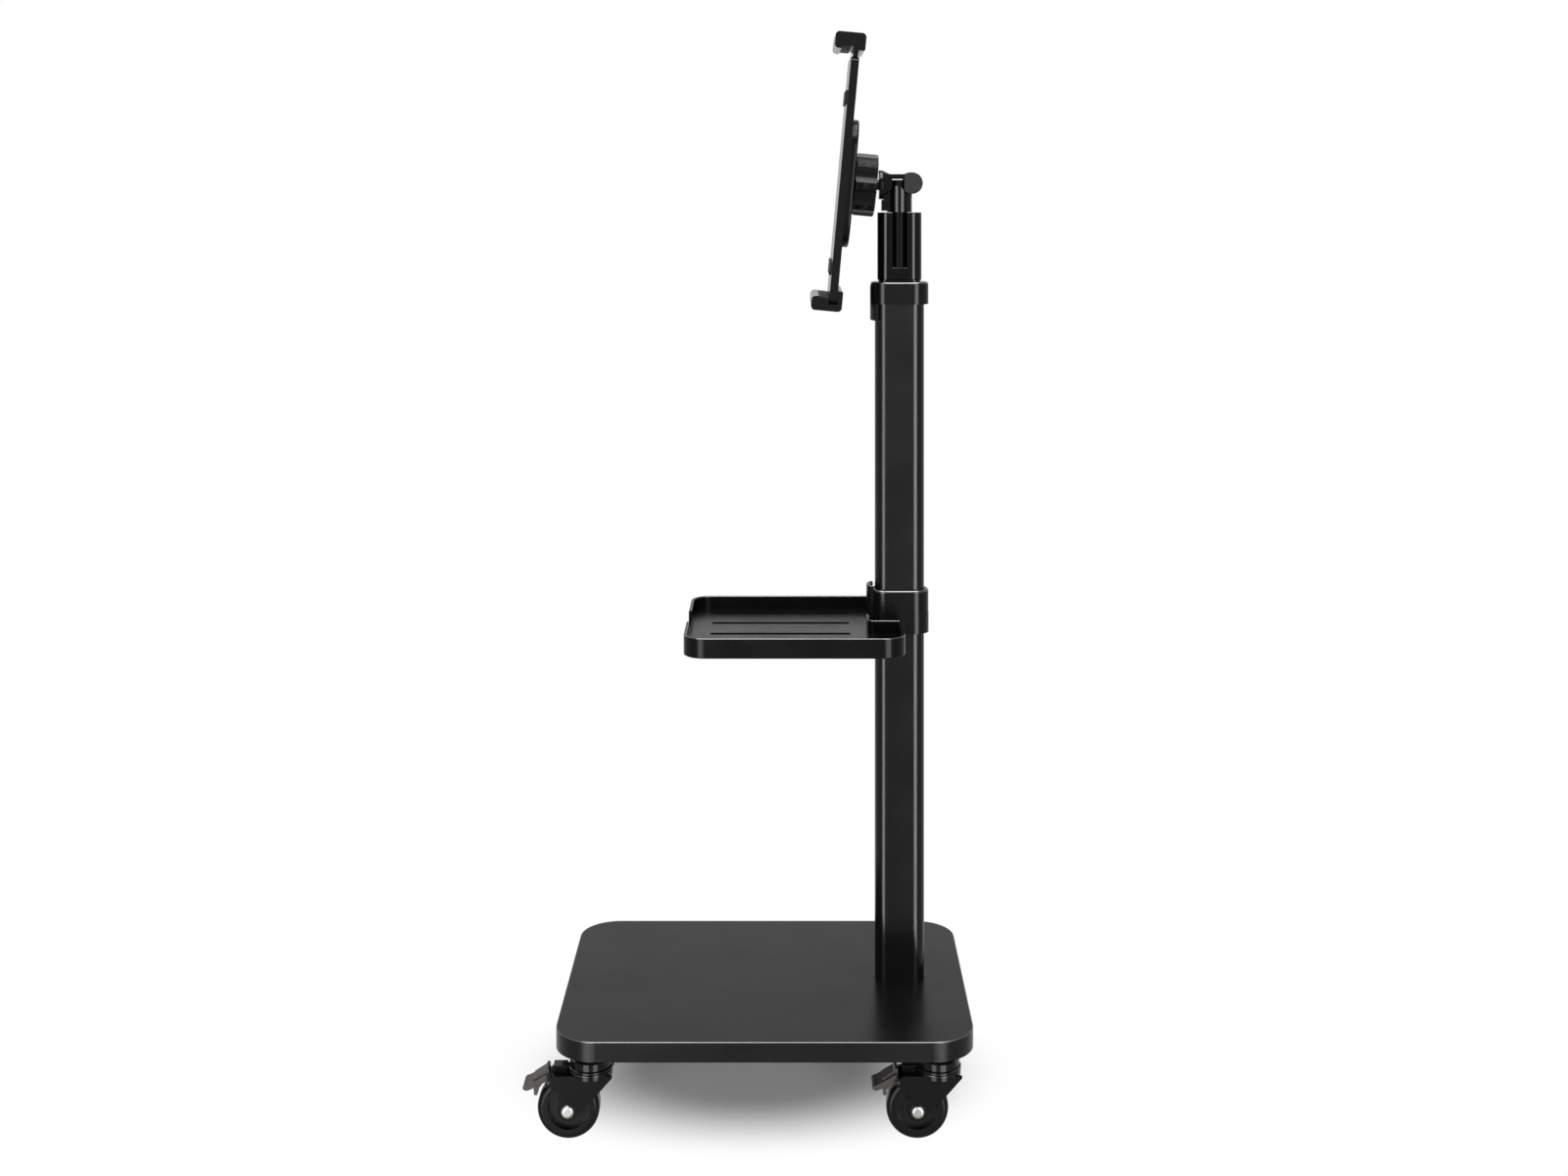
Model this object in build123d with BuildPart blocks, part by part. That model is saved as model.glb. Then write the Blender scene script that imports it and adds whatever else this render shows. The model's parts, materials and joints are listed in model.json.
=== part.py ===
from build123d import *
import math
import os

os.makedirs("parts", exist_ok=True)

# A rolling floor stand for a tablet, in millimetres.
# X runs across the stand, Y from the user's side to the back, and Z up from the floor.

# Driving sizes of the base
base_length = 336.0
base_width = 252.0
base_thickness = 16.0
base_corner = 34.0
base_skin = 2.0

# Driving sizes of the casters
wheel_radius = 25.0
caster_inset = 27.6
caster_side_inset = 37.0
caster_trail = 17.5
pedal_reach = 54.0
web_gap = 1.0
web_thickness = 2.0
race_height = 2.0
race_gap = 0.3
cap_height = 9.2
neck_height = 10.5

# Driving sizes of the column and the mast inside it
column_length = 583.0
column_width = 42.0
column_depth = 21.0
column_end_flat = 2.0
column_wall = 1.8
column_setback = 54.2
liner_wall = 1.2
glide_gap = 0.3
mast_wall = 1.5
mast_rise = 12.0
mast_floor_gap = 79.0

# Driving sizes of the head
block_height = 57.6
block_width = 37.7
block_depth = 18.0
ball_rise = 23.4
ball_reach = 29.3
ball_radius = 8.5
holder_lean = 5.2

# Driving sizes of the tablet holder, measured from the ball
holder_width = 88.0
holder_top = 105.6
holder_bottom = 101.0
holder_thickness = 6.85
boss_thickness = 5.95
boss_back = 10.0

# Driving sizes of the tray
tray_length = 182.1
tray_width = 163.0
tray_height = 16.5
tray_level = 382.5
tray_corner = 18.0

# Shared fits
fit_gap = 0.05
running_gap = 0.05
loose_gap = 0.3
overrun = 5.0

# Places that follow from the driving sizes
wheel_height = 2 * wheel_radius
web_bottom = wheel_height + web_gap
fork_top = web_bottom + web_thickness
race_top = fork_top + race_height
cap_bottom = race_top + race_gap
cap_top = cap_bottom + cap_height
ride_height = cap_top + neck_height
front_overhang = pedal_reach - caster_inset
base_y = front_overhang / 2
base_front = base_y - base_length / 2
base_back = base_y + base_length / 2
base_top = ride_height + base_thickness
column_y = base_back - column_setback
column_front = column_y - column_width / 2
column_top = base_top + column_length
column_corner = (column_depth - column_end_flat) / 2
column_end_y = column_front + column_depth / 2
mast_top = column_top + mast_rise
mast_bottom = base_top + mast_floor_gap
mast_length = mast_top - mast_bottom
block_top = mast_top + block_height
mast_margin = -column_wall - liner_wall - glide_gap
ball_y = column_y - ball_reach
ball_height = block_top + ball_rise
ball_centre = (0, ball_y, ball_height)

# Planes that follow the ball joint
lean = math.radians(holder_lean)
front_way = (0, -math.cos(lean), math.sin(lean))
holder_plane = Plane(origin=ball_centre, x_dir=(1, 0, 0), z_dir=front_way)
holder_side = Plane(origin=ball_centre, x_dir=front_way, z_dir=(-1, 0, 0))
holder_axis = Axis(ball_centre, front_way)
arm_side = Plane(origin=ball_centre, x_dir=(0, 1, 0), z_dir=(1, 0, 0))
arm_axis = Axis(ball_centre, (0, 1, 0))


def finish(part, name):
    """Label a finished piece and write it."""
    part.label = name
    export_step(part, f"parts/{name}.step")


def oval(z, margin):
    """The column's section at a height, grown or shrunk by a margin."""
    with BuildSketch(Plane.XY.offset(z)) as section:
        with Locations((0, column_y)):
            RectangleRounded(
                column_depth + 2 * margin,
                column_width + 2 * margin,
                column_corner + margin,
            )
    return section.sketch


def base_outline(z, inset):
    """The base's outline at a height, drawn in by an inset."""
    with BuildSketch(Plane.XY.offset(z)) as outline:
        with Locations((0, base_y)):
            RectangleRounded(
                base_width - 2 * inset,
                base_length - 2 * inset,
                base_corner - inset,
            )
    return outline.sketch


def span(low_x, high_x, low_y, high_y, mode=Mode.ADD):
    """A rectangle between two corners of the sketch in hand."""
    with Locations(((low_x + high_x) / 2, (low_y + high_y) / 2)):
        Rectangle(abs(high_x - low_x), abs(high_y - low_y), mode=mode)


# Base
panel_thickness = 2.5
panel_gap = 0.3
weight_gap = 0.5
base_edge_round = 1.0
stem_radius = 5.0
stem_hole_gap = 0.3
nut_flats = 16.0
nut_height = 6.0
nut_pocket_gap = 1.2
screw_radius = 4.0
screw_head_radius = 6.5
screw_head_height = 8.0
screw_pitch = 20.0
screw_grip = 22.0
screw_socket_flats = 6.0
screw_socket_depth = 4.0
foot_height = 30.0

panel_top = ride_height + panel_thickness
cavity_top = base_top - base_skin
caster_x = base_width / 2 - caster_side_inset
casters = {
    "front_left": (-caster_x, base_front + caster_inset),
    "front_right": (caster_x, base_front + caster_inset),
    "back_left": (-caster_x, base_back - caster_inset),
    "back_right": (caster_x, base_back - caster_inset),
}
screw_places = [(0, column_y - screw_pitch / 2), (0, column_y + screw_pitch / 2)]
head_top = panel_top + screw_head_height
nut_pocket_radius = nut_flats / math.sqrt(3) + nut_pocket_gap

with BuildPart() as base_cover:
    extrude(base_outline(ride_height, 0), amount=base_thickness)
    fillet(base_cover.edges().group_by(Axis.Z)[-1], base_edge_round)
    extrude(
        base_outline(ride_height, base_skin),
        amount=base_thickness - base_skin,
        mode=Mode.SUBTRACT,
    )
    with BuildSketch(Plane.XY.offset(base_top)):
        with Locations(screw_places):
            Circle(screw_radius + stem_hole_gap)
    extrude(amount=-base_skin, mode=Mode.SUBTRACT)
finish(base_cover.part, "base_cover")

with BuildPart() as bottom_panel:
    extrude(base_outline(ride_height, base_skin + panel_gap), amount=panel_thickness)
    with BuildSketch(Plane.XY.offset(ride_height)):
        with Locations(list(casters.values())):
            Circle(stem_radius + stem_hole_gap)
        with Locations(screw_places):
            Circle(screw_head_radius + stem_hole_gap)
    extrude(amount=panel_thickness, mode=Mode.SUBTRACT)
finish(bottom_panel.part, "bottom_panel")

with BuildPart() as base_weight:
    extrude(
        base_outline(panel_top, base_skin + weight_gap),
        amount=cavity_top - panel_top,
    )
    with BuildSketch(Plane.XY.offset(panel_top)):
        with Locations(screw_places):
            Circle(screw_head_radius + stem_hole_gap)
    extrude(amount=screw_head_height, mode=Mode.SUBTRACT)
    with BuildSketch(Plane.XY.offset(panel_top)):
        with Locations(list(casters.values())):
            Circle(nut_pocket_radius)
        with Locations(screw_places):
            Circle(screw_radius + stem_hole_gap)
    extrude(amount=cavity_top - panel_top, mode=Mode.SUBTRACT)
finish(base_weight.part, "base_weight")

# Column
liner_depth = 40.0
liner_height = 8.6
mast_window_half = 4.6

with BuildPart() as column_foot:
    extrude(oval(base_top, -column_wall - fit_gap), amount=foot_height)
    with BuildSketch(Plane.XY.offset(base_top)):
        with Locations(screw_places):
            Circle(screw_radius + fit_gap)
    extrude(amount=screw_grip + fit_gap, mode=Mode.SUBTRACT)
finish(column_foot.part, "column_foot")

with BuildPart() as column_screws:
    with BuildSketch(Plane.XY.offset(panel_top)):
        with Locations(screw_places):
            Circle(screw_head_radius)
    extrude(amount=screw_head_height)
    with BuildSketch(Plane.XY.offset(head_top)):
        with Locations(screw_places):
            Circle(screw_radius)
    extrude(amount=base_top + screw_grip - head_top)
    with BuildSketch(Plane.XY.offset(panel_top)):
        with Locations(screw_places):
            RegularPolygon(screw_socket_flats / 2, 6, major_radius=False)
    extrude(amount=screw_socket_depth, mode=Mode.SUBTRACT)
finish(column_screws.part, "column_screws")

with BuildPart() as outer_column:
    extrude(oval(base_top, 0), amount=column_length)
    extrude(oval(base_top, -column_wall), amount=column_length, mode=Mode.SUBTRACT)
finish(outer_column.part, "outer_column")

# Press tabs: a curved tab in front of a collar, on a short pin
tab_width = 20.0
tab_lug_width = 8.0
tab_lug_gap = 0.4
tab_pin_radius = 1.0
tab_barrel = 1.7
tab_edge_round = 0.9
tab_side_gap = 0.4

# Top collar and its tab
collar_wall = 3.7
collar_height = 19.0
collar_overlap = 8.3
collar_round = 2.2
collar_lip = 2.1
collar_mouth_gap = 0.5
tab_stand = 4.1
tab_thickness = 2.0
tab_recess_gap = 0.9
tab_drop = 14.0
release_pin_rise = 3.0
release_pin_half = 5.8

collar_bottom = column_top - collar_overlap
collar_top = collar_bottom + collar_height
tab_radius = column_depth / 2 + tab_stand
liner_top = collar_top - collar_lip
release_tab_bottom = collar_bottom - tab_drop
release_tab_top = liner_top - tab_side_gap
release_pin_z = column_top + release_pin_rise
mast_front = column_front - mast_margin
release_pin_y = mast_front - loose_gap - tab_barrel
release_recess = tab_radius - tab_thickness - tab_recess_gap


def press_tab(outer, inner, bottom, top, pin_y, pin_z):
    """A curved tab between two radii about the column's rounded end, with a lug for its pin."""
    with BuildPart() as tab:
        with BuildSketch(Plane.XY.offset(bottom)):
            with Locations((0, column_end_y)):
                Circle(outer)
                Circle(inner, mode=Mode.SUBTRACT)
            span(-tab_width / 2, tab_width / 2, column_end_y - outer, column_end_y, Mode.INTERSECT)
        extrude(amount=top - bottom)
        ends = tab.edges().group_by(Axis.Z)
        fillet(ends[0] + ends[-1], tab_edge_round)
        with BuildSketch(Plane.YZ):
            with Locations((pin_y, pin_z)):
                Circle(tab_barrel)
            span(column_end_y - (outer + inner) / 2, pin_y, pin_z - tab_barrel, pin_z + tab_barrel)
        extrude(amount=tab_lug_width / 2, both=True)
        with BuildSketch(Plane.YZ):
            with Locations((pin_y, pin_z)):
                Circle(tab_pin_radius + running_gap)
        extrude(amount=tab_width, both=True, mode=Mode.SUBTRACT)
    return tab.part


def tab_pin(pin_y, pin_z, half_length):
    """The pin that a press tab turns on."""
    with BuildPart() as pin:
        with BuildSketch(Plane.YZ):
            with Locations((pin_y, pin_z)):
                Circle(tab_pin_radius)
        extrude(amount=half_length, both=True)
    return pin.part


with BuildPart() as column_liner:
    extrude(
        oval(column_top - liner_depth, -column_wall - fit_gap),
        amount=liner_depth + liner_height,
    )
    extrude(
        oval(column_top - liner_depth, -column_wall - liner_wall),
        amount=liner_depth + liner_height,
        mode=Mode.SUBTRACT,
    )
    with BuildSketch(Plane.XZ.offset(-column_y)):
        span(
            -mast_window_half,
            mast_window_half,
            release_pin_z - tab_barrel - tab_lug_gap,
            liner_top,
        )
    extrude(amount=column_width, mode=Mode.SUBTRACT)
finish(column_liner.part, "column_liner")

with BuildPart() as top_collar:
    extrude(oval(collar_bottom, collar_wall), amount=collar_height)
    fillet(top_collar.edges().group_by(Axis.Z)[-1], collar_round)
    extrude(oval(collar_bottom, fit_gap), amount=collar_overlap, mode=Mode.SUBTRACT)
    extrude(
        oval(column_top, -column_wall),
        amount=liner_top - column_top,
        mode=Mode.SUBTRACT,
    )
    extrude(oval(liner_top, mast_margin + collar_mouth_gap), amount=overrun, mode=Mode.SUBTRACT)
    with BuildSketch(Plane.XY.offset(collar_bottom)):
        with Locations((0, column_end_y)):
            Circle(tab_radius + overrun)
            Circle(release_recess, mode=Mode.SUBTRACT)
        span(
            -tab_width / 2 - tab_side_gap,
            tab_width / 2 + tab_side_gap,
            column_end_y - tab_radius - overrun,
            column_end_y,
            Mode.INTERSECT,
        )
    extrude(amount=liner_top - collar_bottom, mode=Mode.SUBTRACT)
    with BuildSketch(Plane.XZ.offset(-column_end_y)):
        span(
            -tab_lug_width / 2 - tab_lug_gap,
            tab_lug_width / 2 + tab_lug_gap,
            release_pin_z - tab_barrel - tab_lug_gap,
            release_pin_z + tab_barrel + tab_lug_gap,
        )
    extrude(amount=column_depth, mode=Mode.SUBTRACT)
    with BuildSketch(Plane.YZ):
        with Locations((release_pin_y, release_pin_z)):
            Circle(tab_pin_radius)
    extrude(amount=release_pin_half, both=True, mode=Mode.SUBTRACT)
finish(top_collar.part, "top_collar")

release_tab = press_tab(
    tab_radius,
    tab_radius - tab_thickness,
    release_tab_bottom,
    release_tab_top,
    release_pin_y,
    release_pin_z,
)
finish(release_tab, "release_tab")
finish(tab_pin(release_pin_y, release_pin_z, release_pin_half), "release_pin")

# Mast
glide_length = 20.0
glide_plug = 20.0
plug_length = 30.0
slot_width = 12.2
slot_floor = 1.0
slot_chamfer = 3.0
slot_web = 8.0
spindle_radius = 6.7
spindle_seat = 10.4
bore_drop = 2.8
block_end_flat = 0.4
block_round = 0.8

mast_cavity = mast_margin - mast_wall
block_corner = (block_depth - block_end_flat) / 2
spindle_drop = block_height - spindle_seat
spindle_bottom = block_top - spindle_drop
bore_floor = spindle_drop + bore_drop

with BuildPart() as inner_tube:
    extrude(oval(mast_bottom, mast_margin), amount=mast_length)
    extrude(oval(mast_bottom, mast_cavity), amount=mast_length, mode=Mode.SUBTRACT)
finish(inner_tube.part, "inner_tube")

with BuildPart() as tube_glide:
    extrude(oval(mast_bottom - glide_length, -column_wall - glide_gap), amount=glide_length)
    extrude(oval(mast_bottom, mast_cavity - fit_gap), amount=glide_plug)
finish(tube_glide.part, "tube_glide")

with BuildPart() as head_block:
    with BuildSketch(Plane.XY.offset(mast_top)):
        with Locations((0, column_y)):
            RectangleRounded(block_depth, block_width, block_corner)
    extrude(amount=block_height)
    fillet(head_block.edges().group_by(Axis.Z)[-1], block_round)
    fillet(head_block.edges().group_by(Axis.Z)[0], block_round)
    extrude(oval(mast_top - plug_length, mast_cavity - fit_gap), amount=plug_length)
    with BuildSketch(Plane.XY.offset(block_top)):
        with Locations((0, column_y)):
            Circle(spindle_radius + running_gap)
    extrude(amount=-bore_floor, mode=Mode.SUBTRACT)
    with BuildSketch(Plane.YZ) as slot:
        span(
            column_y - slot_width / 2,
            column_y + slot_width / 2,
            mast_top + slot_floor,
            block_top + overrun,
        )
        chamfer(slot.vertices().group_by(Axis.Y)[0], slot_chamfer)
    extrude(amount=block_depth, both=True, mode=Mode.SUBTRACT)
    with BuildSketch(Plane.XY.offset(mast_top + slot_floor)):
        with Locations((0, column_y)):
            Rectangle(slot_web, slot_width)
    extrude(amount=spindle_bottom - loose_gap - mast_top - slot_floor)
finish(head_block.part, "head_block")

# Stem and folding elbow
sleeve_radius = 10.7
sleeve_height = 22.3
spindle_rise = 5.0
knuckle_reach = 10.1
knuckle_rise = 1.6
lug_half = 5.2
lug_radius = 6.5
lug_depth = 10.0
tilt_pin_radius = 2.5
ear_radius = 5.8
ear_gap = 0.3
hood_half = 8.4
cap_radius = 9.2
cap_thickness = 2.5
cap_sweep_gap = 0.3
cap_flat = 6.7
cap_round = 0.8
strap_thickness = 4.2
strap_gap = 0.8
strap_end = 7.2
hood_cone_length = 7.5
hood_cone_large = 12.2
hood_cone_small = 8.6
brow_half = 7.5
brow_drop = 22.0
brow_step = 12.8
brow_lead = 1.6
hood_gap = 0.3

sleeve_bottom = block_top + loose_gap
sleeve_top = sleeve_bottom + sleeve_height
spindle_top = sleeve_top + spindle_rise
knuckle_y = column_y + knuckle_reach
knuckle_z = ball_height + knuckle_rise
strap_bottom = spindle_top + strap_gap
strap_top = strap_bottom + strap_thickness
cap_inner = hood_half + ear_gap
tilt_pin_half = cap_inner + cap_thickness / 2

with BuildPart() as swivel_spindle:
    with BuildSketch(Plane.XY.offset(spindle_bottom)):
        with Locations((0, column_y)):
            Circle(spindle_radius)
    extrude(amount=spindle_top - spindle_bottom)
finish(swivel_spindle.part, "swivel_spindle")

with BuildPart() as stem_sleeve:
    with BuildSketch(Plane.XY.offset(sleeve_bottom)):
        with Locations((0, column_y)):
            Circle(sleeve_radius)
    extrude(amount=sleeve_height)
    with BuildSketch(Plane.YZ.offset(lug_half)):
        with Locations((knuckle_y, knuckle_z)):
            Circle(cap_radius + cap_sweep_gap)
    extrude(amount=sleeve_radius, mode=Mode.SUBTRACT)
    with BuildSketch(Plane.YZ.offset(-lug_half)):
        with Locations((knuckle_y, knuckle_z)):
            Circle(cap_radius + cap_sweep_gap)
    extrude(amount=-sleeve_radius, mode=Mode.SUBTRACT)
    with BuildSketch(Plane.YZ):
        with Locations((knuckle_y, knuckle_z)):
            Circle(lug_radius)
        span(column_y, knuckle_y, sleeve_top - lug_depth, knuckle_z)
    extrude(amount=lug_half, both=True)
    with BuildSketch(Plane.XY.offset(sleeve_bottom)):
        with Locations((0, column_y)):
            Circle(spindle_radius)
    extrude(amount=strap_top - sleeve_bottom, mode=Mode.SUBTRACT)
    with BuildSketch(Plane.YZ):
        with Locations((knuckle_y, knuckle_z)):
            Circle(tilt_pin_radius)
    extrude(amount=lug_half, both=True, mode=Mode.SUBTRACT)
finish(stem_sleeve.part, "stem_sleeve")

with BuildPart() as tilt_pin:
    with BuildSketch(Plane.YZ):
        with Locations((knuckle_y, knuckle_z)):
            Circle(tilt_pin_radius)
    extrude(amount=tilt_pin_half, both=True)
finish(tilt_pin.part, "tilt_pin")

with BuildPart() as pivot_caps:
    for way in (1, -1):
        with BuildSketch(Plane.YZ.offset(way * cap_inner)):
            with Locations((knuckle_y, knuckle_z)):
                Circle(cap_radius)
            span(
                knuckle_y - cap_flat,
                knuckle_y + cap_radius,
                knuckle_z - cap_radius,
                knuckle_z + cap_radius,
                Mode.INTERSECT,
            )
        extrude(amount=way * cap_thickness)
    fillet(pivot_caps.edges().group_by(Axis.X)[0], cap_round)
    fillet(pivot_caps.edges().group_by(Axis.X)[-1], cap_round)
    with BuildSketch(Plane.YZ):
        with Locations((knuckle_y, knuckle_z)):
            Circle(tilt_pin_radius)
    extrude(amount=tilt_pin_half, both=True, mode=Mode.SUBTRACT)
finish(pivot_caps.part, "pivot_caps")

# Ball stud, drawn along the arm from the ball's centre
neck_radius = 4.5
flange_radius = 12.5
flange_start = 11.6
flange_thickness = 3.7
flange_round = 0.8
shank_radius = 4.0
shank_length = 3.2

flange_end = flange_start + flange_thickness

with BuildPart() as ball_stud:
    with BuildSketch(arm_side) as stud_half:
        Circle(ball_radius)
        span(0, flange_start, -neck_radius, neck_radius)
        with Locations(((flange_start + flange_end) / 2, 0)):
            RectangleRounded(flange_thickness, 2 * flange_radius, flange_round)
        span(flange_end, flange_end + shank_length, -shank_radius, shank_radius)
        span(-ball_radius, flange_end + shank_length, 0, flange_radius, Mode.INTERSECT)
    revolve(axis=arm_axis)
finish(ball_stud.part, "ball_stud")

with BuildPart() as elbow_hood:
    with BuildSketch(arm_side):
        with BuildLine():
            Polyline(
                (flange_end, 0),
                (flange_end, hood_cone_large),
                (flange_end + hood_cone_length, hood_cone_small),
                (flange_end + hood_cone_length, 0),
                close=True,
            )
        make_face()
    revolve(axis=arm_axis)
    with BuildSketch(arm_side):
        span(flange_end, ball_reach - spindle_radius, -brow_drop, 0)
        span(flange_end - brow_lead, flange_end, -brow_drop, -brow_step)
    extrude(amount=brow_half, both=True)
    with BuildSketch(Plane.YZ):
        span(ball_y + flange_end, knuckle_y, strap_bottom, strap_top)
        span(knuckle_y - ear_radius, knuckle_y, knuckle_z, strap_top)
        with Locations((knuckle_y, knuckle_z)):
            Circle(ear_radius)
    extrude(amount=hood_half, both=True)
    with BuildSketch(Plane.YZ):
        span(knuckle_y - strap_end, knuckle_y + cap_radius, knuckle_z - cap_radius, strap_top)
    extrude(amount=lug_half + ear_gap, both=True, mode=Mode.SUBTRACT)
    with BuildSketch(Plane.XY.offset(sleeve_top + hood_gap)):
        with Locations((0, column_y)):
            Circle(sleeve_radius + hood_gap)
    extrude(amount=-sleeve_height - hood_gap, mode=Mode.SUBTRACT)
    with BuildSketch(Plane.XY.offset(strap_bottom)):
        with Locations((0, column_y)):
            Circle(spindle_radius + hood_gap)
    extrude(amount=sleeve_top - strap_bottom, mode=Mode.SUBTRACT)
    with BuildSketch(Plane.YZ):
        with Locations((knuckle_y, knuckle_z)):
            Circle(tilt_pin_radius + running_gap)
    extrude(amount=hood_half, both=True, mode=Mode.SUBTRACT)
    with BuildSketch(arm_side):
        span(flange_end, flange_end + shank_length, 0, shank_radius)
    revolve(axis=arm_axis, mode=Mode.SUBTRACT)
finish(elbow_hood.part, "elbow_hood")

# Ball cup, socket and lock nut, drawn along the holder's axis from the ball's centre
cup_wall = 1.2
cup_back = 4.2
cup_front = 7.0
socket_radius = 15.0
socket_back = 5.0
finger_slot = 1.6
finger_depth = 8.0
nut_radius = 26.5
nut_half = 9.25
nut_gap = 0.1
nut_throat = 12.0
nut_dish = 17.0
nut_throat_back = 6.5
nut_cone_start = 5.3
nut_scallops = 8
nut_first_pad = -2.4
scallop_radius = 18.2
scallop_depth = 2.4
grip_rib_radius = 0.5
grip_ribs_per_pad = 4
grip_rib_angle = 3.4
nut_edge = 0.8

cup_inner = ball_radius + running_gap
cup_outer = cup_inner + cup_wall
socket_inner = cup_outer + running_gap
nut_bore = socket_radius + nut_gap

with BuildPart() as ball_cup:
    with BuildSketch(holder_side):
        Circle(cup_outer)
        Circle(cup_inner, mode=Mode.SUBTRACT)
        span(-cup_back, cup_front, 0, cup_outer, Mode.INTERSECT)
    revolve(axis=holder_axis)
finish(ball_cup.part, "ball_cup")

with BuildPart() as ball_socket:
    with BuildSketch(holder_side):
        span(-socket_back, boss_back, 0, socket_radius)
        Circle(socket_inner, mode=Mode.SUBTRACT)
        span(0, boss_back, 0, neck_radius, Mode.SUBTRACT)
    revolve(axis=holder_axis)
    with BuildSketch(holder_plane.offset(-socket_back)):
        Rectangle(finger_slot, 2 * nut_radius)
        Rectangle(2 * nut_radius, finger_slot)
    extrude(amount=finger_depth, mode=Mode.SUBTRACT)
finish(ball_socket.part, "ball_socket")

with BuildPart() as lock_nut:
    with BuildSketch(holder_plane.offset(-nut_half)):
        Circle(nut_radius)
        pad_angle = 360 / nut_scallops
        with PolarLocations(
            nut_radius + scallop_radius - scallop_depth,
            nut_scallops,
            start_angle=nut_first_pad + pad_angle / 2,
        ):
            Circle(scallop_radius, mode=Mode.SUBTRACT)
        first_rib = nut_first_pad - grip_rib_angle * (grip_ribs_per_pad - 1) / 2
        for pad in range(nut_scallops):
            with PolarLocations(
                nut_radius,
                grip_ribs_per_pad,
                start_angle=pad * pad_angle + first_rib,
                angular_range=grip_rib_angle * grip_ribs_per_pad,
            ):
                Circle(grip_rib_radius, mode=Mode.SUBTRACT)
    extrude(amount=2 * nut_half)
    with BuildSketch(holder_side):
        with BuildLine():
            Polyline(
                (nut_half + overrun, 0),
                (nut_half + overrun, nut_bore),
                (-nut_cone_start, nut_bore),
                (-nut_throat_back, nut_throat),
                (-nut_half, nut_dish),
                (-nut_half, 0),
                close=True,
            )
        make_face()
    revolve(axis=holder_axis, mode=Mode.SUBTRACT)
    with BuildSketch(holder_side):
        for end in (-nut_half, nut_half):
            with Locations((end, nut_radius)):
                Rectangle(2 * nut_edge, 2 * nut_edge, rotation=45)
    revolve(axis=holder_axis, mode=Mode.SUBTRACT)
finish(lock_nut.part, "lock_nut")

# Rear boss and holder shells, drawn from the ball's centre towards the tablet
boss_length = 109.0
boss_width = 62.0
boss_corner = 26.0
boss_round = 2.0
boss_screw_x = 21.0
boss_screw_y = 40.0
boss_screw_radius = 1.5
boss_screw_head = 2.8
boss_screw_recess = 2.4
boss_screw_bite = 0.8
holder_corner = 5.0
slider_width = 60.0
slider_thickness = 4.2
slider_gap = 0.2
slider_tail = 25.0
slider_ear = 6.0
slider_ear_height = 6.0
cavity_end = 16.0
mouth_height = 7.6
spring_radius = 1.9
spring_offset = 33.5
spring_end = 22.0
peg_radius = 1.2
peg_end = 20.0

holder_back_face = boss_back + boss_thickness
holder_front_face = holder_back_face + holder_thickness
holder_split = holder_back_face + holder_thickness / 2
slider_back = holder_split - slider_thickness / 2
slider_front = holder_split + slider_thickness / 2
cavity_back = slider_back - slider_gap
cavity_front = slider_front + slider_gap
cavity_half = slider_width / 2 + slider_ear + loose_gap
mouth_half = slider_width / 2 + slider_gap
mouth_start = holder_top - mouth_height
cavity_floor = holder_bottom - cavity_end
spring_start = holder_bottom - spring_end
peg_drop = holder_bottom - peg_end
boss_screw_places = [
    (way_x * boss_screw_x, way_y * boss_screw_y) for way_x in (1, -1) for way_y in (1, -1)
]
spring_places = [(-spring_offset, 0), (spring_offset, 0)]

with BuildPart() as rear_boss:
    with BuildSketch(holder_plane.offset(boss_back)):
        RectangleRounded(boss_width, boss_length, boss_corner)
    extrude(amount=boss_thickness)
    back_edges = rear_boss.edges().filter_by(
        lambda edge: abs(holder_plane.to_local_coords(edge.center()).Z - boss_back) < fit_gap
    )
    fillet(back_edges, boss_round)
    with BuildSketch(holder_plane.offset(boss_back)):
        with Locations(boss_screw_places):
            Circle(boss_screw_head + fit_gap)
    extrude(amount=boss_screw_recess, mode=Mode.SUBTRACT)
    with BuildSketch(holder_plane.offset(boss_back)):
        with Locations(boss_screw_places):
            Circle(boss_screw_radius + fit_gap)
    extrude(amount=boss_thickness, mode=Mode.SUBTRACT)
finish(rear_boss.part, "rear_boss")

with BuildPart() as boss_screws:
    with BuildSketch(holder_plane.offset(boss_back + boss_screw_recess / 4)):
        with Locations(boss_screw_places):
            Circle(boss_screw_head)
    extrude(amount=boss_screw_recess * 3 / 4)
    with BuildSketch(holder_plane.offset(boss_back + boss_screw_recess)):
        with Locations(boss_screw_places):
            Circle(boss_screw_radius)
    extrude(amount=boss_thickness - boss_screw_recess + boss_screw_bite)
finish(boss_screws.part, "boss_screws")


def holder_cavity():
    """The hollow for the slider and the springs, cut through both shells."""
    with BuildPart() as cavity:
        with BuildSketch(holder_plane.offset(cavity_back)):
            span(-cavity_half, cavity_half, -cavity_floor, mouth_start)
            span(-mouth_half, mouth_half, mouth_start, holder_top + overrun)
        extrude(amount=cavity_front - cavity_back)
    return cavity.part


slider_hollow = holder_cavity()

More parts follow.
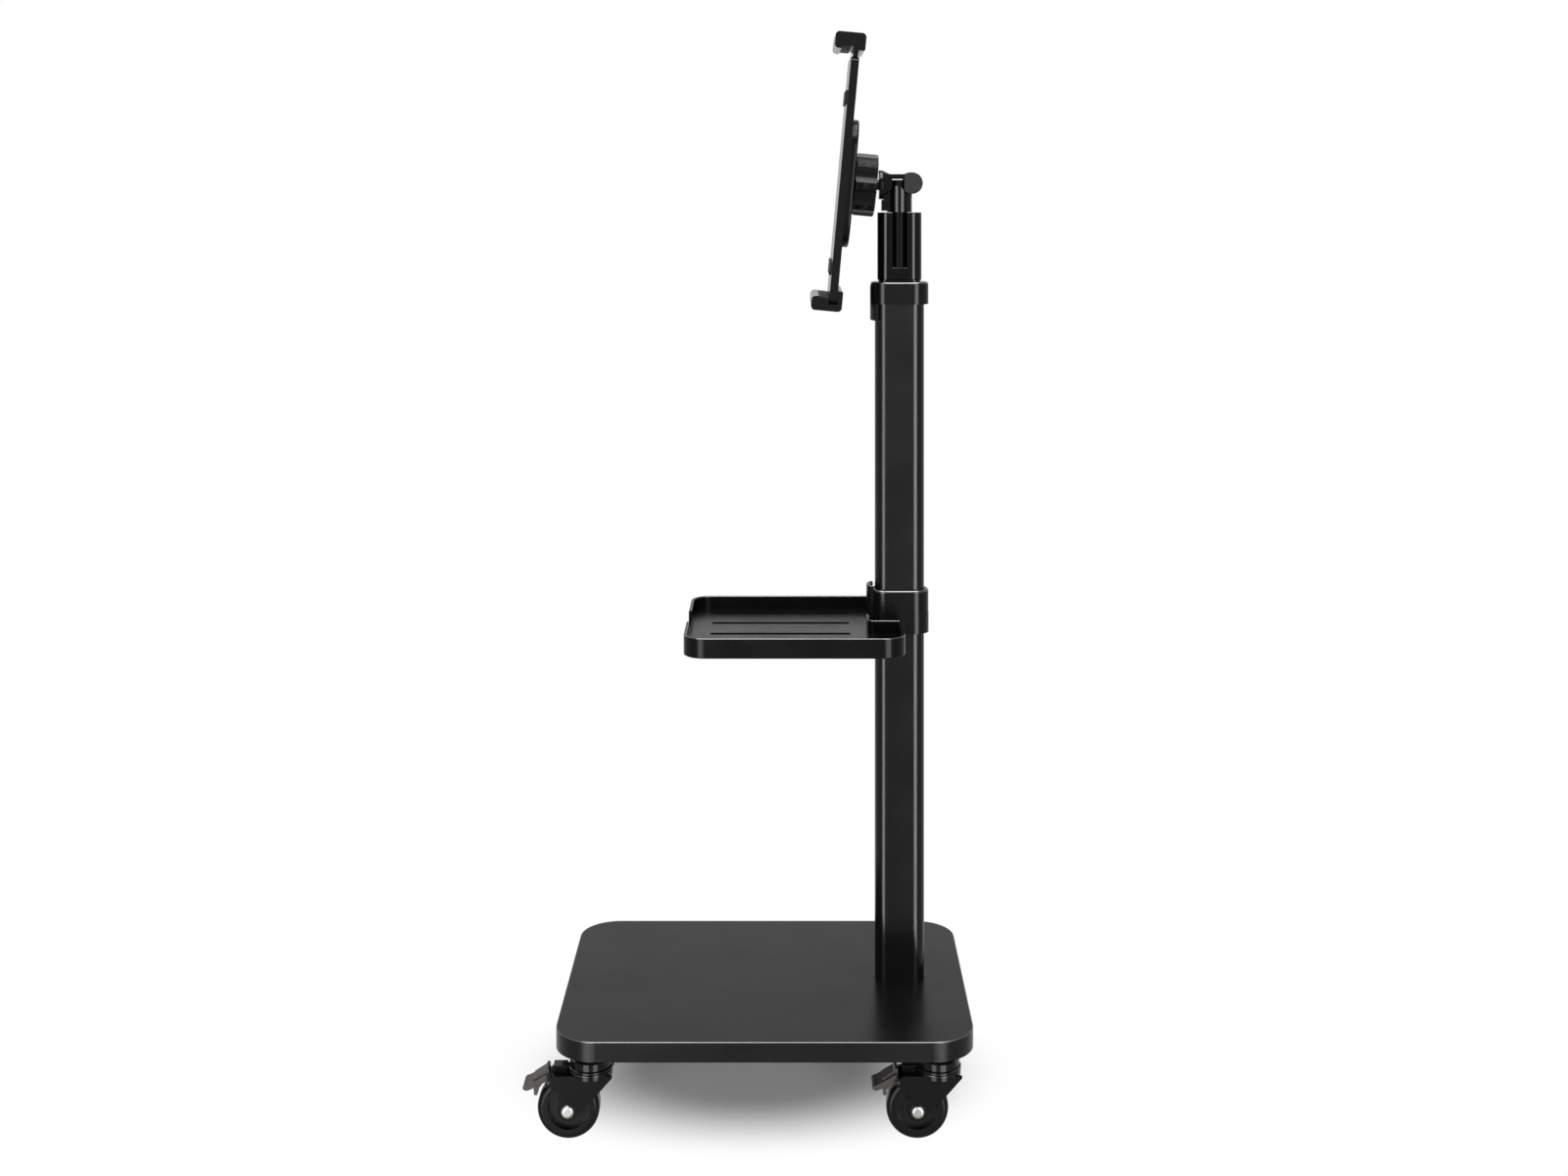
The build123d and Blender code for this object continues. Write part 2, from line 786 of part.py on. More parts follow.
with BuildPart() as holder_back:
    with BuildSketch(holder_plane.offset(holder_back_face)):
        with Locations((0, (holder_top - holder_bottom) / 2)):
            RectangleRounded(holder_width, holder_top + holder_bottom, holder_corner)
    extrude(amount=holder_split - holder_back_face)
    add(slider_hollow, mode=Mode.SUBTRACT)
    with BuildSketch(holder_plane.offset(cavity_back)):
        with Locations([(x, -peg_drop) for x, _ in spring_places]):
            Circle(peg_radius)
    extrude(amount=cavity_front - cavity_back - fit_gap)
    with BuildSketch(holder_plane.offset(holder_back_face)):
        with Locations(boss_screw_places):
            Circle(boss_screw_radius + fit_gap)
    extrude(amount=cavity_back - holder_back_face, mode=Mode.SUBTRACT)
finish(holder_back.part, "holder_back")

with BuildPart() as holder_front:
    with BuildSketch(holder_plane.offset(holder_split)):
        with Locations((0, (holder_top - holder_bottom) / 2)):
            RectangleRounded(holder_width, holder_top + holder_bottom, holder_corner)
    extrude(amount=holder_front_face - holder_split)
    add(slider_hollow, mode=Mode.SUBTRACT)
finish(holder_front.part, "holder_front")

# Springs between the pegs and the slider's ears
spring_plane = Plane(
    origin=holder_plane.from_local_coords((0, -spring_start, holder_split)),
    x_dir=(1, 0, 0),
    z_dir=(0, math.sin(lean), math.cos(lean)),
)

with BuildPart() as holder_springs:
    with BuildSketch(spring_plane):
        with Locations(spring_places):
            Circle(spring_radius)
    extrude(amount=spring_start + slider_tail - loose_gap)
finish(holder_springs.part, "holder_springs")

# Jaws: a channel with a lip in front of the tablet and a leg behind it
jaw_back = 11.6
jaw_front = 37.4
jaw_corner = 3.5
groove_front = 31.6
leg_round = 1.5
slot_gap = 0.3
lower_depth = 6.2
lower_lip_rise = 5.7
lower_seat_rise = 4.2
lower_leg_rise = 11.0
upper_depth = 20.2
upper_lip_gap = 6.0
upper_seat_gap = 8.6
upper_leg_gap = 5.4
head_length = 12.4
head_inset = 1.4
jaw_pad_thickness = 1.2
jaw_pad_side_gap = 0.2
jaw_pad_end_gap = 2.0

jaw_bottom = holder_bottom + lower_depth
lower_lip = holder_bottom - lower_lip_rise
lower_seat = holder_bottom - lower_seat_rise
lower_leg = holder_bottom - lower_leg_rise
jaw_top = holder_top + upper_depth
upper_lip = holder_top + upper_lip_gap
upper_seat = holder_top + upper_seat_gap
upper_leg = holder_top + upper_leg_gap
slider_head = holder_top + slot_gap
head_height = holder_top + head_length
head_half = holder_width / 2 - head_inset


def jaw(outer, lip, seat, leg, slot_floor, slot_back, slot_front, slot_half):
    """A jaw as wide as the holder, with a slot for the piece that carries it."""
    with BuildPart() as body:
        with BuildSketch(holder_side) as section:
            with Locations(((jaw_back + jaw_front) / 2, (outer + lip) / 2)):
                RectangleRounded(jaw_front - jaw_back, abs(outer - lip), jaw_corner)
            span(jaw_back, slot_back, (outer + lip) / 2, leg)
            span(slot_back, groove_front, seat, 2 * lip - outer, Mode.SUBTRACT)
            fillet(section.vertices().group_by(Axis.Y)[0 if outer > 0 else -1], leg_round)
        extrude(amount=holder_width / 2, both=True)
        with BuildSketch(holder_side):
            span(slot_back, slot_front, slot_floor, seat)
        extrude(amount=slot_half, both=True, mode=Mode.SUBTRACT)
    return body.part


def jaw_pad(seat, way):
    """A rubber strip on the seat of a jaw's groove."""
    with BuildPart() as strip:
        with BuildSketch(holder_side):
            span(
                holder_front_face + slot_gap + jaw_pad_side_gap,
                groove_front - jaw_pad_side_gap,
                seat,
                seat + way * jaw_pad_thickness,
            )
        extrude(amount=holder_width / 2 - jaw_pad_end_gap, both=True)
    return strip.part


lower_jaw = jaw(
    -jaw_bottom,
    -lower_lip,
    -lower_seat,
    -lower_leg,
    -holder_bottom - slot_gap,
    holder_back_face - slot_gap,
    holder_front_face + slot_gap,
    holder_width,
)
upper_jaw = jaw(
    jaw_top,
    upper_lip,
    upper_seat,
    upper_leg,
    head_height + slot_gap,
    slider_back - slot_gap,
    slider_front + slot_gap,
    head_half + slot_gap,
)
finish(lower_jaw, "lower_jaw")
finish(upper_jaw, "upper_jaw")
finish(jaw_pad(-lower_seat, 1), "lower_jaw_pad")
finish(jaw_pad(upper_seat, -1), "upper_jaw_pad")

# Sliding plate of the upper jaw
with BuildPart() as jaw_slider:
    with BuildSketch(holder_plane.offset(slider_back)):
        span(-slider_width / 2, slider_width / 2, slider_tail, head_height)
        span(
            -slider_width / 2 - slider_ear,
            slider_width / 2 + slider_ear,
            slider_tail,
            slider_tail + slider_ear_height,
        )
        span(-head_half, head_half, slider_head, head_height)
    extrude(amount=slider_thickness)
finish(jaw_slider.part, "jaw_slider")

# Rubber strips behind the tablet
back_pad_length = 64.0
back_pad_width = 12.0
back_pad_rise = 72.0
back_pad_thickness = 1.5

with BuildPart() as back_pads:
    with BuildSketch(holder_plane.offset(holder_front_face)):
        with Locations((0, back_pad_rise), (0, -back_pad_rise)):
            RectangleRounded(back_pad_length, back_pad_width, back_pad_width / 3)
    extrude(amount=back_pad_thickness)
finish(back_pads.part, "back_pads")

# Tray
tray_wall = 2.6
tray_overlap = 1.3
tray_skirt = 3.2
tray_floor = 3.0
tray_edge_round = 0.9
tray_front_notch = 20.0
tray_front_sill = 8.0
notch_gap = 0.3
notch_mouth_round = 8.0
notch_inner_round = 3.0
floor_rib_length = 118.0
floor_rib_setback = 20.3
floor_rib_width = 1.6
floor_rib_height = 0.8
floor_rib_inner = 19.5
floor_rib_outer = 56.0

tray_back = column_y + tray_overlap
tray_front = tray_back - tray_length
tray_y = (tray_front + tray_back) / 2
tray_underside = tray_level + tray_skirt
tray_floor_top = tray_underside + tray_floor
tray_rim = tray_level + tray_height

# Tray collar, with the tongue that carries the tray
tray_collar_rise = 4.2
tray_collar_tier = 17.3
tray_collar_height = 36.7
tier_step = 0.2
tongue_gap = 0.2
tongue_half = 13.2
tongue_wide_half = 28.0
tongue_reach = 98.2
tongue_neck = 12.0
boss_stand = 4.4
boss_half = 8.0
boss_rise = 22.0
boss_height = 9.0
tray_tab_stand = 7.3
tray_tab_thickness = 2.4
tray_tab_rise = 18.5
tray_tab_height = 26.0
tray_pin_rise = 26.5
tray_pin_half = 6.6
tray_screw_x = 18.0
tray_screw_reach = 60.0
tray_screw_radius = 1.6
tray_screw_head = 3.2
tray_screw_length = 5.4

collar_margin = collar_wall + tier_step
tray_collar_bottom = tray_level + tray_collar_rise
boss_radius = column_depth / 2 + boss_stand
boss_bottom = tray_level + boss_rise
tray_tab_radius = column_depth / 2 + tray_tab_stand
tray_tab_bottom = tray_level + tray_tab_rise
tray_pin_z = tray_level + tray_pin_rise
notch_half = column_depth / 2 + collar_margin + notch_gap
notch_front = column_front - collar_margin - notch_gap
tray_pin_y = column_front - loose_gap - tab_barrel
tongue_bottom = tray_level + tongue_gap
tray_screw_places = [(way * tray_screw_x, column_y - tray_screw_reach) for way in (1, -1)]


def tray_outline(z, inset):
    """The tray's outline with its notch for the column, drawn in by an inset."""
    with BuildSketch(Plane.XY.offset(z)) as outline:
        with Locations((0, tray_y)):
            RectangleRounded(tray_width, tray_length, tray_corner)
        span(-notch_half, notch_half, notch_front, tray_back, Mode.SUBTRACT)
        corners = outline.vertices().filter_by(lambda corner: abs(corner.X) < tray_corner)
        fillet(corners.group_by(Axis.Y)[0], notch_inner_round)
        fillet(corners.group_by(Axis.Y)[-1], notch_mouth_round)
        if inset:
            offset(amount=-inset)
    return outline.sketch


with BuildPart() as tray:
    extrude(tray_outline(tray_level, 0), amount=tray_height)
    fillet(tray.edges().group_by(Axis.Z)[0], tray_edge_round)
    extrude(
        tray_outline(tray_floor_top, tray_wall),
        amount=tray_rim - tray_floor_top,
        mode=Mode.SUBTRACT,
    )
    fillet(tray.edges().group_by(Axis.Z)[-1], tray_edge_round)
    extrude(
        tray_outline(tray_level, tray_wall),
        amount=tray_skirt,
        mode=Mode.SUBTRACT,
    )
    with BuildSketch(Plane.XY.offset(tray_floor_top)):
        with Locations((0, tray_front + floor_rib_setback + floor_rib_length / 2)):
            with Locations(
                (-floor_rib_outer, 0),
                (-floor_rib_inner, 0),
                (floor_rib_inner, 0),
                (floor_rib_outer, 0),
            ):
                Rectangle(floor_rib_width, floor_rib_length)
    extrude(amount=floor_rib_height)
    with BuildSketch(Plane.XY.offset(tray_level + tray_front_sill)):
        with Locations((0, tray_front)):
            Rectangle(2 * tray_front_notch, 4 * tray_wall)
    extrude(amount=tray_height, mode=Mode.SUBTRACT)
    with BuildSketch(Plane.XY.offset(tray_level)):
        span(
            -tongue_half - tongue_gap,
            tongue_half + tongue_gap,
            notch_front - 2 * tray_wall,
            notch_front + tray_wall,
        )
    extrude(amount=tray_skirt, mode=Mode.SUBTRACT)
    with BuildSketch(Plane.XY.offset(tray_underside)):
        with Locations(tray_screw_places):
            Circle(tray_screw_radius + fit_gap)
    extrude(amount=tongue_bottom + tray_screw_length - tray_underside, mode=Mode.SUBTRACT)
finish(tray.part, "tray")

with BuildPart() as tray_collar:
    extrude(oval(tray_collar_bottom, collar_margin), amount=tray_collar_tier)
    extrude(
        oval(tray_collar_bottom + tray_collar_tier, collar_wall),
        amount=tray_collar_height - tray_collar_tier,
    )
    fillet(tray_collar.edges().group_by(Axis.Z)[-1], collar_round)
    with BuildSketch(Plane.XY.offset(boss_bottom)):
        with Locations((0, column_end_y)):
            Circle(boss_radius)
        span(-boss_half, boss_half, column_end_y - boss_radius, column_end_y, Mode.INTERSECT)
    extrude(amount=boss_height)
    with BuildSketch(Plane.XY.offset(tongue_bottom)):
        span(-tongue_half, tongue_half, column_y - tongue_reach, column_y)
        span(
            -tongue_wide_half,
            tongue_wide_half,
            column_y - tongue_reach,
            notch_front - tongue_neck,
        )
    extrude(amount=tray_underside - tongue_bottom)
    with BuildSketch(Plane.XY.offset(tray_underside)):
        span(-tongue_half, tongue_half, notch_front + notch_inner_round, column_y)
    extrude(amount=tray_collar_bottom - tray_underside)
    extrude(
        oval(tongue_bottom, loose_gap),
        amount=tray_collar_bottom + tray_collar_height - tongue_bottom,
        mode=Mode.SUBTRACT,
    )
    with BuildSketch(Plane.XZ.offset(-column_end_y)):
        span(
            -tab_lug_width / 2 - tab_lug_gap,
            tab_lug_width / 2 + tab_lug_gap,
            tray_pin_z - tab_barrel - tab_lug_gap,
            tray_pin_z + tab_barrel + tab_lug_gap,
        )
    extrude(amount=column_depth, mode=Mode.SUBTRACT)
    with BuildSketch(Plane.YZ):
        with Locations((tray_pin_y, tray_pin_z)):
            Circle(tab_pin_radius)
    extrude(amount=tray_pin_half, both=True, mode=Mode.SUBTRACT)
    with BuildSketch(Plane.XY.offset(tongue_bottom)):
        with Locations(tray_screw_places):
            Circle(tray_screw_head + fit_gap)
    extrude(amount=tray_screw_head - tray_screw_radius, mode=Mode.SUBTRACT)
    with BuildSketch(Plane.XY.offset(tongue_bottom)):
        with Locations(tray_screw_places):
            Circle(tray_screw_radius + fit_gap)
    extrude(amount=tray_underside - tongue_bottom, mode=Mode.SUBTRACT)
finish(tray_collar.part, "tray_collar")

with BuildPart() as tray_screws:
    with BuildSketch(Plane.XY.offset(tongue_bottom)):
        with Locations(tray_screw_places):
            Circle(tray_screw_head)
    extrude(amount=tray_screw_head - tray_screw_radius)
    with BuildSketch(Plane.XY.offset(tongue_bottom)):
        with Locations(tray_screw_places):
            Circle(tray_screw_radius)
    extrude(amount=tray_screw_length)
finish(tray_screws.part, "tray_screws")

tray_tab = press_tab(
    tray_tab_radius,
    tray_tab_radius - tray_tab_thickness,
    tray_tab_bottom,
    tray_tab_bottom + tray_tab_height,
    tray_pin_y,
    tray_pin_z,
)
finish(tray_tab, "tray_tab")
finish(tab_pin(tray_pin_y, tray_pin_z, tray_pin_half), "tray_pin")

# Casters, drawn once about the swivel axis with the wheel trailing to the front
race_radius = 18.0
race_round = 0.5
cap_overhang = 0.2
cap_flange = 2.6
cap_step = 0.8
stem_neck_radius = 12.0
stem_pin_radius = 4.0
stem_head_radius = 6.0
stem_head_gap = 0.1
stem_head_height = 1.6
stem_thread_rise = 11.0
fork_half = 10.7
fork_plate = 2.5
fork_tip_radius = 8.0
bracket_half = 5.0
bracket_length = 11.2
bracket_setback = 18.7
bracket_height = 5.2
pedal_pivot_share = 0.62
pedal_pivot_drop = 5.1
pedal_barrel = 2.3
pedal_pin = 1.2
pedal_half = 10.0
pedal_lever_half = 7.0
pedal_plate_gap = 0.3
tyre_width = 18.0
hub_radius = 17.4
hub_boss_radius = 11.0
hub_boss_width = 20.0
hub_groove_outer = 16.9
hub_groove_inner = 11.5
hub_groove_depth = 5.0
tyre_round = 4.5
axle_radius = 4.0
axle_head_radius = 5.4
axle_head_height = 2.8
axle_head_round = 2.4
axle_nut_flats = 11.0
axle_nut_height = 3.5
axle_end = 1.5

# The fork plate's outline: from the axle in wheel radii, and up in fork heights
fork_plate_shares = [
    (-0.300, 1.000),
    (-0.492, 0.974),
    (-0.644, 0.943),
    (-0.716, 0.898),
    (-0.720, 0.853),
    (-0.596, 0.825),
    (-0.444, 0.796),
    (-0.368, 0.766),
    (-0.292, 0.719),
    (-0.264, 0.672),
    (-0.264, 0.625),
    (-0.290, 0.570),
    (-0.320, 0.472),
    (0.000, 0.321),
    (0.244, 0.374),
    (0.988, 0.742),
    (1.340, 0.930),
    (1.420, 0.970),
    (1.420, 1.000),
]

# The pedal's outline: out from its pivot in pedal spans, and up from it in fork heights
pedal_lever_shares = [
    (0.000, -0.030),
    (-0.060, 0.030),
    (0.010, 0.055),
    (0.015, 0.150),
    (0.040, 0.165),
    (0.120, 0.165),
    (0.190, 0.120),
    (0.620, 0.015),
    (0.620, -0.020),
    (0.600, -0.150),
    (0.575, -0.240),
    (0.455, -0.240),
    (0.438, -0.160),
    (0.244, -0.060),
]
pedal_pad_shares = [
    (0.076, 0.096),
    (0.200, 0.070),
    (0.371, 0.030),
    (0.590, -0.017),
    (0.790, -0.057),
    (0.950, -0.079),
    (1.000, -0.100),
    (0.985, -0.126),
    (0.890, -0.147),
    (0.780, -0.142),
    (0.586, -0.108),
    (0.410, -0.060),
    (0.230, 0.005),
    (0.076, 0.040),
]

flange_top = cap_bottom + cap_flange
cap_side = race_radius + cap_overhang - race_round - cap_step
axle_y = -caster_trail
pedal_pivot_y = axle_y - pedal_pivot_share * wheel_radius
pedal_pivot_z = fork_top - pedal_pivot_drop
pedal_span = pedal_reach + pedal_pivot_y
plate_outer = fork_half + fork_plate


def stack(places):
    """Turned solids of a caster's fixed upper half, one at each place."""
    with BuildPart() as turned:
        for x, y in places:
            with BuildSketch(Plane(origin=(x, y, 0), x_dir=(1, 0, 0), z_dir=(0, -1, 0))):
                with BuildLine():
                    Polyline(
                        (0, web_bottom - stem_head_gap - stem_head_height),
                        (stem_head_radius, web_bottom - stem_head_gap - stem_head_height),
                        (stem_head_radius, web_bottom - stem_head_gap),
                        (stem_pin_radius, web_bottom - stem_head_gap),
                        (stem_pin_radius, cap_bottom),
                        (race_radius + cap_overhang - race_round, cap_bottom),
                        (race_radius + cap_overhang, cap_bottom + race_round),
                        (race_radius + cap_overhang, flange_top - race_round),
                        (race_radius + cap_overhang - race_round, flange_top),
                        (cap_side, flange_top),
                        (cap_side, cap_top - 2 * race_round),
                        (cap_side - 2 * race_round, cap_top),
                        (stem_neck_radius, cap_top),
                        (stem_neck_radius, ride_height),
                        (stem_radius, ride_height),
                        (stem_radius, ride_height + stem_thread_rise),
                        (0, ride_height + stem_thread_rise),
                        close=True,
                    )
                make_face()
            revolve(axis=Axis((x, y, 0), (0, 0, 1)))
    return turned.part


finish(stack(casters.values()), "caster_stems")

with BuildPart() as caster_nuts:
    with BuildSketch(Plane.XY.offset(panel_top)):
        with Locations(list(casters.values())):
            RegularPolygon(nut_flats / 2, 6, major_radius=False)
            Circle(stem_radius + fit_gap, mode=Mode.SUBTRACT)
    extrude(amount=nut_height)
finish(caster_nuts.part, "caster_nuts")


def scaled(shares, start_y, scale_y, start_z, scale_z):
    """An outline's points from its shares."""
    return [(start_y + y * scale_y, start_z + z * scale_z) for y, z in shares]


with BuildPart() as fork:
    for way in (1, -1):
        with BuildSketch(Plane.YZ.offset(way * fork_half)):
            with BuildLine():
                Polyline(
                    *scaled(fork_plate_shares, axle_y, wheel_radius, 0, fork_top), close=True
                )
            make_face()
            with Locations((axle_y, wheel_radius)):
                Circle(fork_tip_radius)
        extrude(amount=way * fork_plate)
    with BuildSketch(Plane.XY.offset(web_bottom)):
        Circle(race_radius)
        span(-plate_outer, plate_outer, -bracket_setback - bracket_length, 0)
    extrude(amount=web_thickness)
    with BuildSketch(Plane.XY.offset(fork_top)):
        Circle(race_radius)
    extrude(amount=race_height)
    fillet(fork.edges().group_by(Axis.Z)[-1], race_round)
    with BuildSketch(Plane.XY.offset(fork_top)):
        span(-bracket_half, bracket_half, -bracket_setback - bracket_length, -bracket_setback)
    extrude(amount=bracket_height)
    with BuildSketch(Plane.XY.offset(web_bottom)):
        Circle(stem_pin_radius + running_gap)
    extrude(amount=web_thickness + race_height, mode=Mode.SUBTRACT)
    with BuildSketch(Plane.YZ):
        with Locations((axle_y, wheel_radius)):
            Circle(axle_radius)
        with Locations((pedal_pivot_y, pedal_pivot_z)):
            Circle(pedal_pin + running_gap)
    extrude(amount=plate_outer, both=True, mode=Mode.SUBTRACT)

with BuildPart() as axle:
    with BuildSketch(Plane.YZ.offset(plate_outer)):
        with Locations((axle_y, wheel_radius)):
            Circle(axle_head_radius)
    extrude(amount=axle_head_height)
    fillet(axle.edges().group_by(Axis.X)[-1], axle_head_round)
    with BuildSketch(Plane.YZ.offset(-plate_outer)):
        with Locations((axle_y, wheel_radius)):
            RegularPolygon(axle_nut_flats / 2, 6, major_radius=False)
    extrude(amount=-axle_nut_height)
    with BuildSketch(Plane.YZ.offset(plate_outer)):
        with Locations((axle_y, wheel_radius)):
            Circle(axle_radius)
    extrude(amount=-2 * plate_outer - axle_nut_height - axle_end)

with BuildPart() as hub:
    with BuildSketch(Plane.YZ):
        with Locations((axle_y, wheel_radius)):
            Circle(hub_radius)
    extrude(amount=tyre_width / 2, both=True)
    with BuildSketch(Plane.YZ):
        with Locations((axle_y, wheel_radius)):
            Circle(hub_boss_radius)
    extrude(amount=hub_boss_width / 2, both=True)
    for way in (1, -1):
        with BuildSketch(Plane.YZ.offset(way * tyre_width / 2)):
            with Locations((axle_y, wheel_radius)):
                Circle(hub_groove_outer)
                Circle(hub_groove_inner, mode=Mode.SUBTRACT)
        extrude(amount=-way * hub_groove_depth, mode=Mode.SUBTRACT)
    with BuildSketch(Plane.YZ):
        with Locations((axle_y, wheel_radius)):
            Circle(axle_radius + running_gap)
    extrude(amount=hub_boss_width / 2, both=True, mode=Mode.SUBTRACT)

with BuildPart() as tyre:
    with BuildSketch(Plane.YZ):
        with Locations((axle_y, wheel_radius)):
            Circle(wheel_radius)
    extrude(amount=tyre_width / 2, both=True)
    fillet(tyre.edges(), tyre_round)
    with BuildSketch(Plane.YZ):
        with Locations((axle_y, wheel_radius)):
            Circle(hub_radius)
    extrude(amount=tyre_width / 2, both=True, mode=Mode.SUBTRACT)

with BuildPart() as pedal:
    with BuildSketch(Plane.YZ):
        with BuildLine():
            Polyline(
                *scaled(
                    pedal_lever_shares, pedal_pivot_y, -pedal_span, pedal_pivot_z, fork_top
                ),
                close=True,
            )
        make_face()
    extrude(amount=pedal_lever_half, both=True)
    with BuildSketch(Plane.YZ):
        with BuildLine():
            Polyline(
                *scaled(pedal_pad_shares, pedal_pivot_y, -pedal_span, pedal_pivot_z, fork_top),
                close=True,
            )
        make_face()
    extrude(amount=pedal_half, both=True)
    with BuildSketch(Plane.YZ):
        with Locations((pedal_pivot_y, pedal_pivot_z)):
            Circle(pedal_barrel)
    extrude(amount=fork_half - pedal_plate_gap, both=True)
    with BuildSketch(Plane.YZ):
        with Locations((pedal_pivot_y, pedal_pivot_z)):
            Circle(pedal_pin)
    extrude(amount=plate_outer, both=True)

# The front left caster has rolled round, so that its wheel trails to the back
for corner, (x, y) in casters.items():
    place = Location((x, y, 0), (0, 0, 180 if corner == "front_left" else 0))
    finish(place * fork.part, f"caster_fork_{corner}")
    finish(place * axle.part, f"caster_axle_{corner}")
    finish(place * hub.part, f"caster_hub_{corner}")
    finish(place * tyre.part, f"caster_tyre_{corner}")
    finish(place * pedal.part, f"brake_pedal_{corner}")
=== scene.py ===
# %% [markdown]
# # A rolling tablet stand, dressed for a studio picture
#
# The stand comes in as a finished model: every tube, jaw, wheel and screw is already a mesh of
# the right size, in metres, with the floor at Z = 0. The user stands at -Y and the column at +Y.
# This lesson gives each piece a finish like the real one's, adds the fine ribs that the plain
# model lacks, and sets the light and the camera.

# %% Load the stand
import json
import math

import bpy
import numpy as np
from mathutils import Matrix, Vector

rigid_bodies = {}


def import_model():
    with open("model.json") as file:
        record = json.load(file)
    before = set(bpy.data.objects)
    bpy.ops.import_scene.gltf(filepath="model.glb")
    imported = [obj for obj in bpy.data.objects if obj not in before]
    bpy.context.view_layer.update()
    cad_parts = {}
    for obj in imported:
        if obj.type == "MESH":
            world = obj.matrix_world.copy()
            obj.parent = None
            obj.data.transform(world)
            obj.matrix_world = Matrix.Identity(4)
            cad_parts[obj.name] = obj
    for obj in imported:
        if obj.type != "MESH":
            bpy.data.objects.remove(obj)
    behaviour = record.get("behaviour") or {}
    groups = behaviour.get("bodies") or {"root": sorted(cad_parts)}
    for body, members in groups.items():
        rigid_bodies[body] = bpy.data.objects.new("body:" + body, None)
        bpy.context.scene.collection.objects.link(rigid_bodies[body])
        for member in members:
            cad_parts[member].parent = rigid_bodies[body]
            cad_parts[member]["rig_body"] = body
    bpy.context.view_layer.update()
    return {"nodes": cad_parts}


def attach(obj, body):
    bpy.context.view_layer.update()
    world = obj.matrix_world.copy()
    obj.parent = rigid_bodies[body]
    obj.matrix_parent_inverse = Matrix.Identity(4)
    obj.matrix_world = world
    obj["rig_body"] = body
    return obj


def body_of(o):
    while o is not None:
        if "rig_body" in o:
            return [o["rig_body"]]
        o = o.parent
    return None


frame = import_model()
nodes = frame["nodes"]
MM_IN_A_METRE = 1000.0


def in_mm(box):
    """The two corners of a box in millimetres."""
    return [[round(v * MM_IN_A_METRE, 1) for v in corner] for corner in box]


# %% [markdown]
# ## The camera
#
# The picture looks at the stand's right side from about 1.7 m away, with the lens 778 mm above
# the floor. The upright column shows no lean, so the camera is level and the frame is moved
# down with a lens shift, as an architect's camera does. Tilting the camera would make the
# column's edges meet at the bottom.

# %% Camera
camera_data = bpy.data.cameras.new("side_camera")
camera_data.sensor_width = 36.0
camera_data.lens = 45.0
camera_data.shift_x = -0.003
camera_data.shift_y = -0.2653
camera_data.clip_end = 30.0
camera = bpy.data.objects.new("side_camera", camera_data)
camera.location = (1.673, 0.03255, 0.778)
camera.rotation_euler = (math.radians(90), 0, math.radians(90))
bpy.context.scene.collection.objects.link(camera)
bpy.context.scene.camera = camera
print("camera at", tuple(round(v, 3) for v in camera.location))

# %% [markdown]
# ## Helpers for materials
#
# Colours are picked in a paint program, as sRGB hex values, while Blender's shaders want linear
# light. One function turns one into the other. One more adds a node, sets it and links it, so
# that a material below reads as a list of its parts.


# %% Colours and nodes
def linear(hex_colour):
    """An sRGB hex colour as linear red, green, blue and alpha, by the sRGB standard's curve."""
    parts = [int(hex_colour[i : i + 2], 16) / 255 for i in (1, 3, 5)]
    turned = [c / 12.92 if c <= 0.04045 else ((c + 0.055) / 1.055) ** 2.4 for c in parts]
    return (*turned, 1.0)


def add(tree, kind, settings=None, inputs=None, links=None):
    """A node of a kind, with its settings, the values of its inputs, and links into them."""
    node = tree.nodes.new(kind)
    for name, value in (settings or {}).items():
        setattr(node, name, value)
    for name, value in (inputs or {}).items():
        node.inputs[name].default_value = value
    for name, (source, output) in (links or {}).items():
        tree.links.new(source.outputs[output], node.inputs[name])
    return node


def finish(name, base, roughness, metallic=0.0, **shader_inputs):
    """A new material with one Principled shader, and that shader and its tree."""
    material = bpy.data.materials.new(name)
    material.use_nodes = True
    tree = material.node_tree
    shader = tree.nodes["Principled BSDF"]
    shader.inputs["Base Color"].default_value = linear(base)
    shader.inputs["Roughness"].default_value = roughness
    shader.inputs["Metallic"].default_value = metallic
    for key, value in shader_inputs.items():
        shader.inputs[key.replace("_", " ")].default_value = value
    return material, shader, tree


print("black #101011 in linear light:", [round(c, 4) for c in linear("#101011")])

# %% [markdown]
# ## Grain, wear and rims
#
# A real skin is never quite flat or even. Noise drives a bump for the grain, and a broader noise
# moves the roughness, as handling does. A noise node counts its waves in a metre, so each grain's
# size in millimetres is turned into that. Both could be painted on an image, but noise needs no
# unwrapped surface and stays sharp close up. A rim is found by how far up its surface faces,
# which needs no marks on the mesh.

# %% Grain and wear
MM = 0.001
NOISE_LOW, NOISE_HIGH = 0.35, 0.65  # most of a noise lies between these


def grain(tree, shader, size_mm, depth_mm, strength, detail=3.0, stretch=(1, 1, 1)):
    """Bump from noise whose grains are size_mm across."""
    place = add(tree, "ShaderNodeTexCoord")
    spread = add(
        tree, "ShaderNodeMapping", inputs={"Scale": stretch}, links={"Vector": (place, "Object")}
    )
    noise = add(
        tree,
        "ShaderNodeTexNoise",
        inputs={"Scale": MM_IN_A_METRE / size_mm, "Detail": detail, "Roughness": 0.55},
        links={"Vector": (spread, "Vector")},
    )
    bump = add(
        tree,
        "ShaderNodeBump",
        inputs={"Strength": strength, "Distance": depth_mm * MM},
        links={"Height": (noise, "Fac")},
    )
    tree.links.new(bump.outputs["Normal"], shader.inputs["Normal"])
    return noise


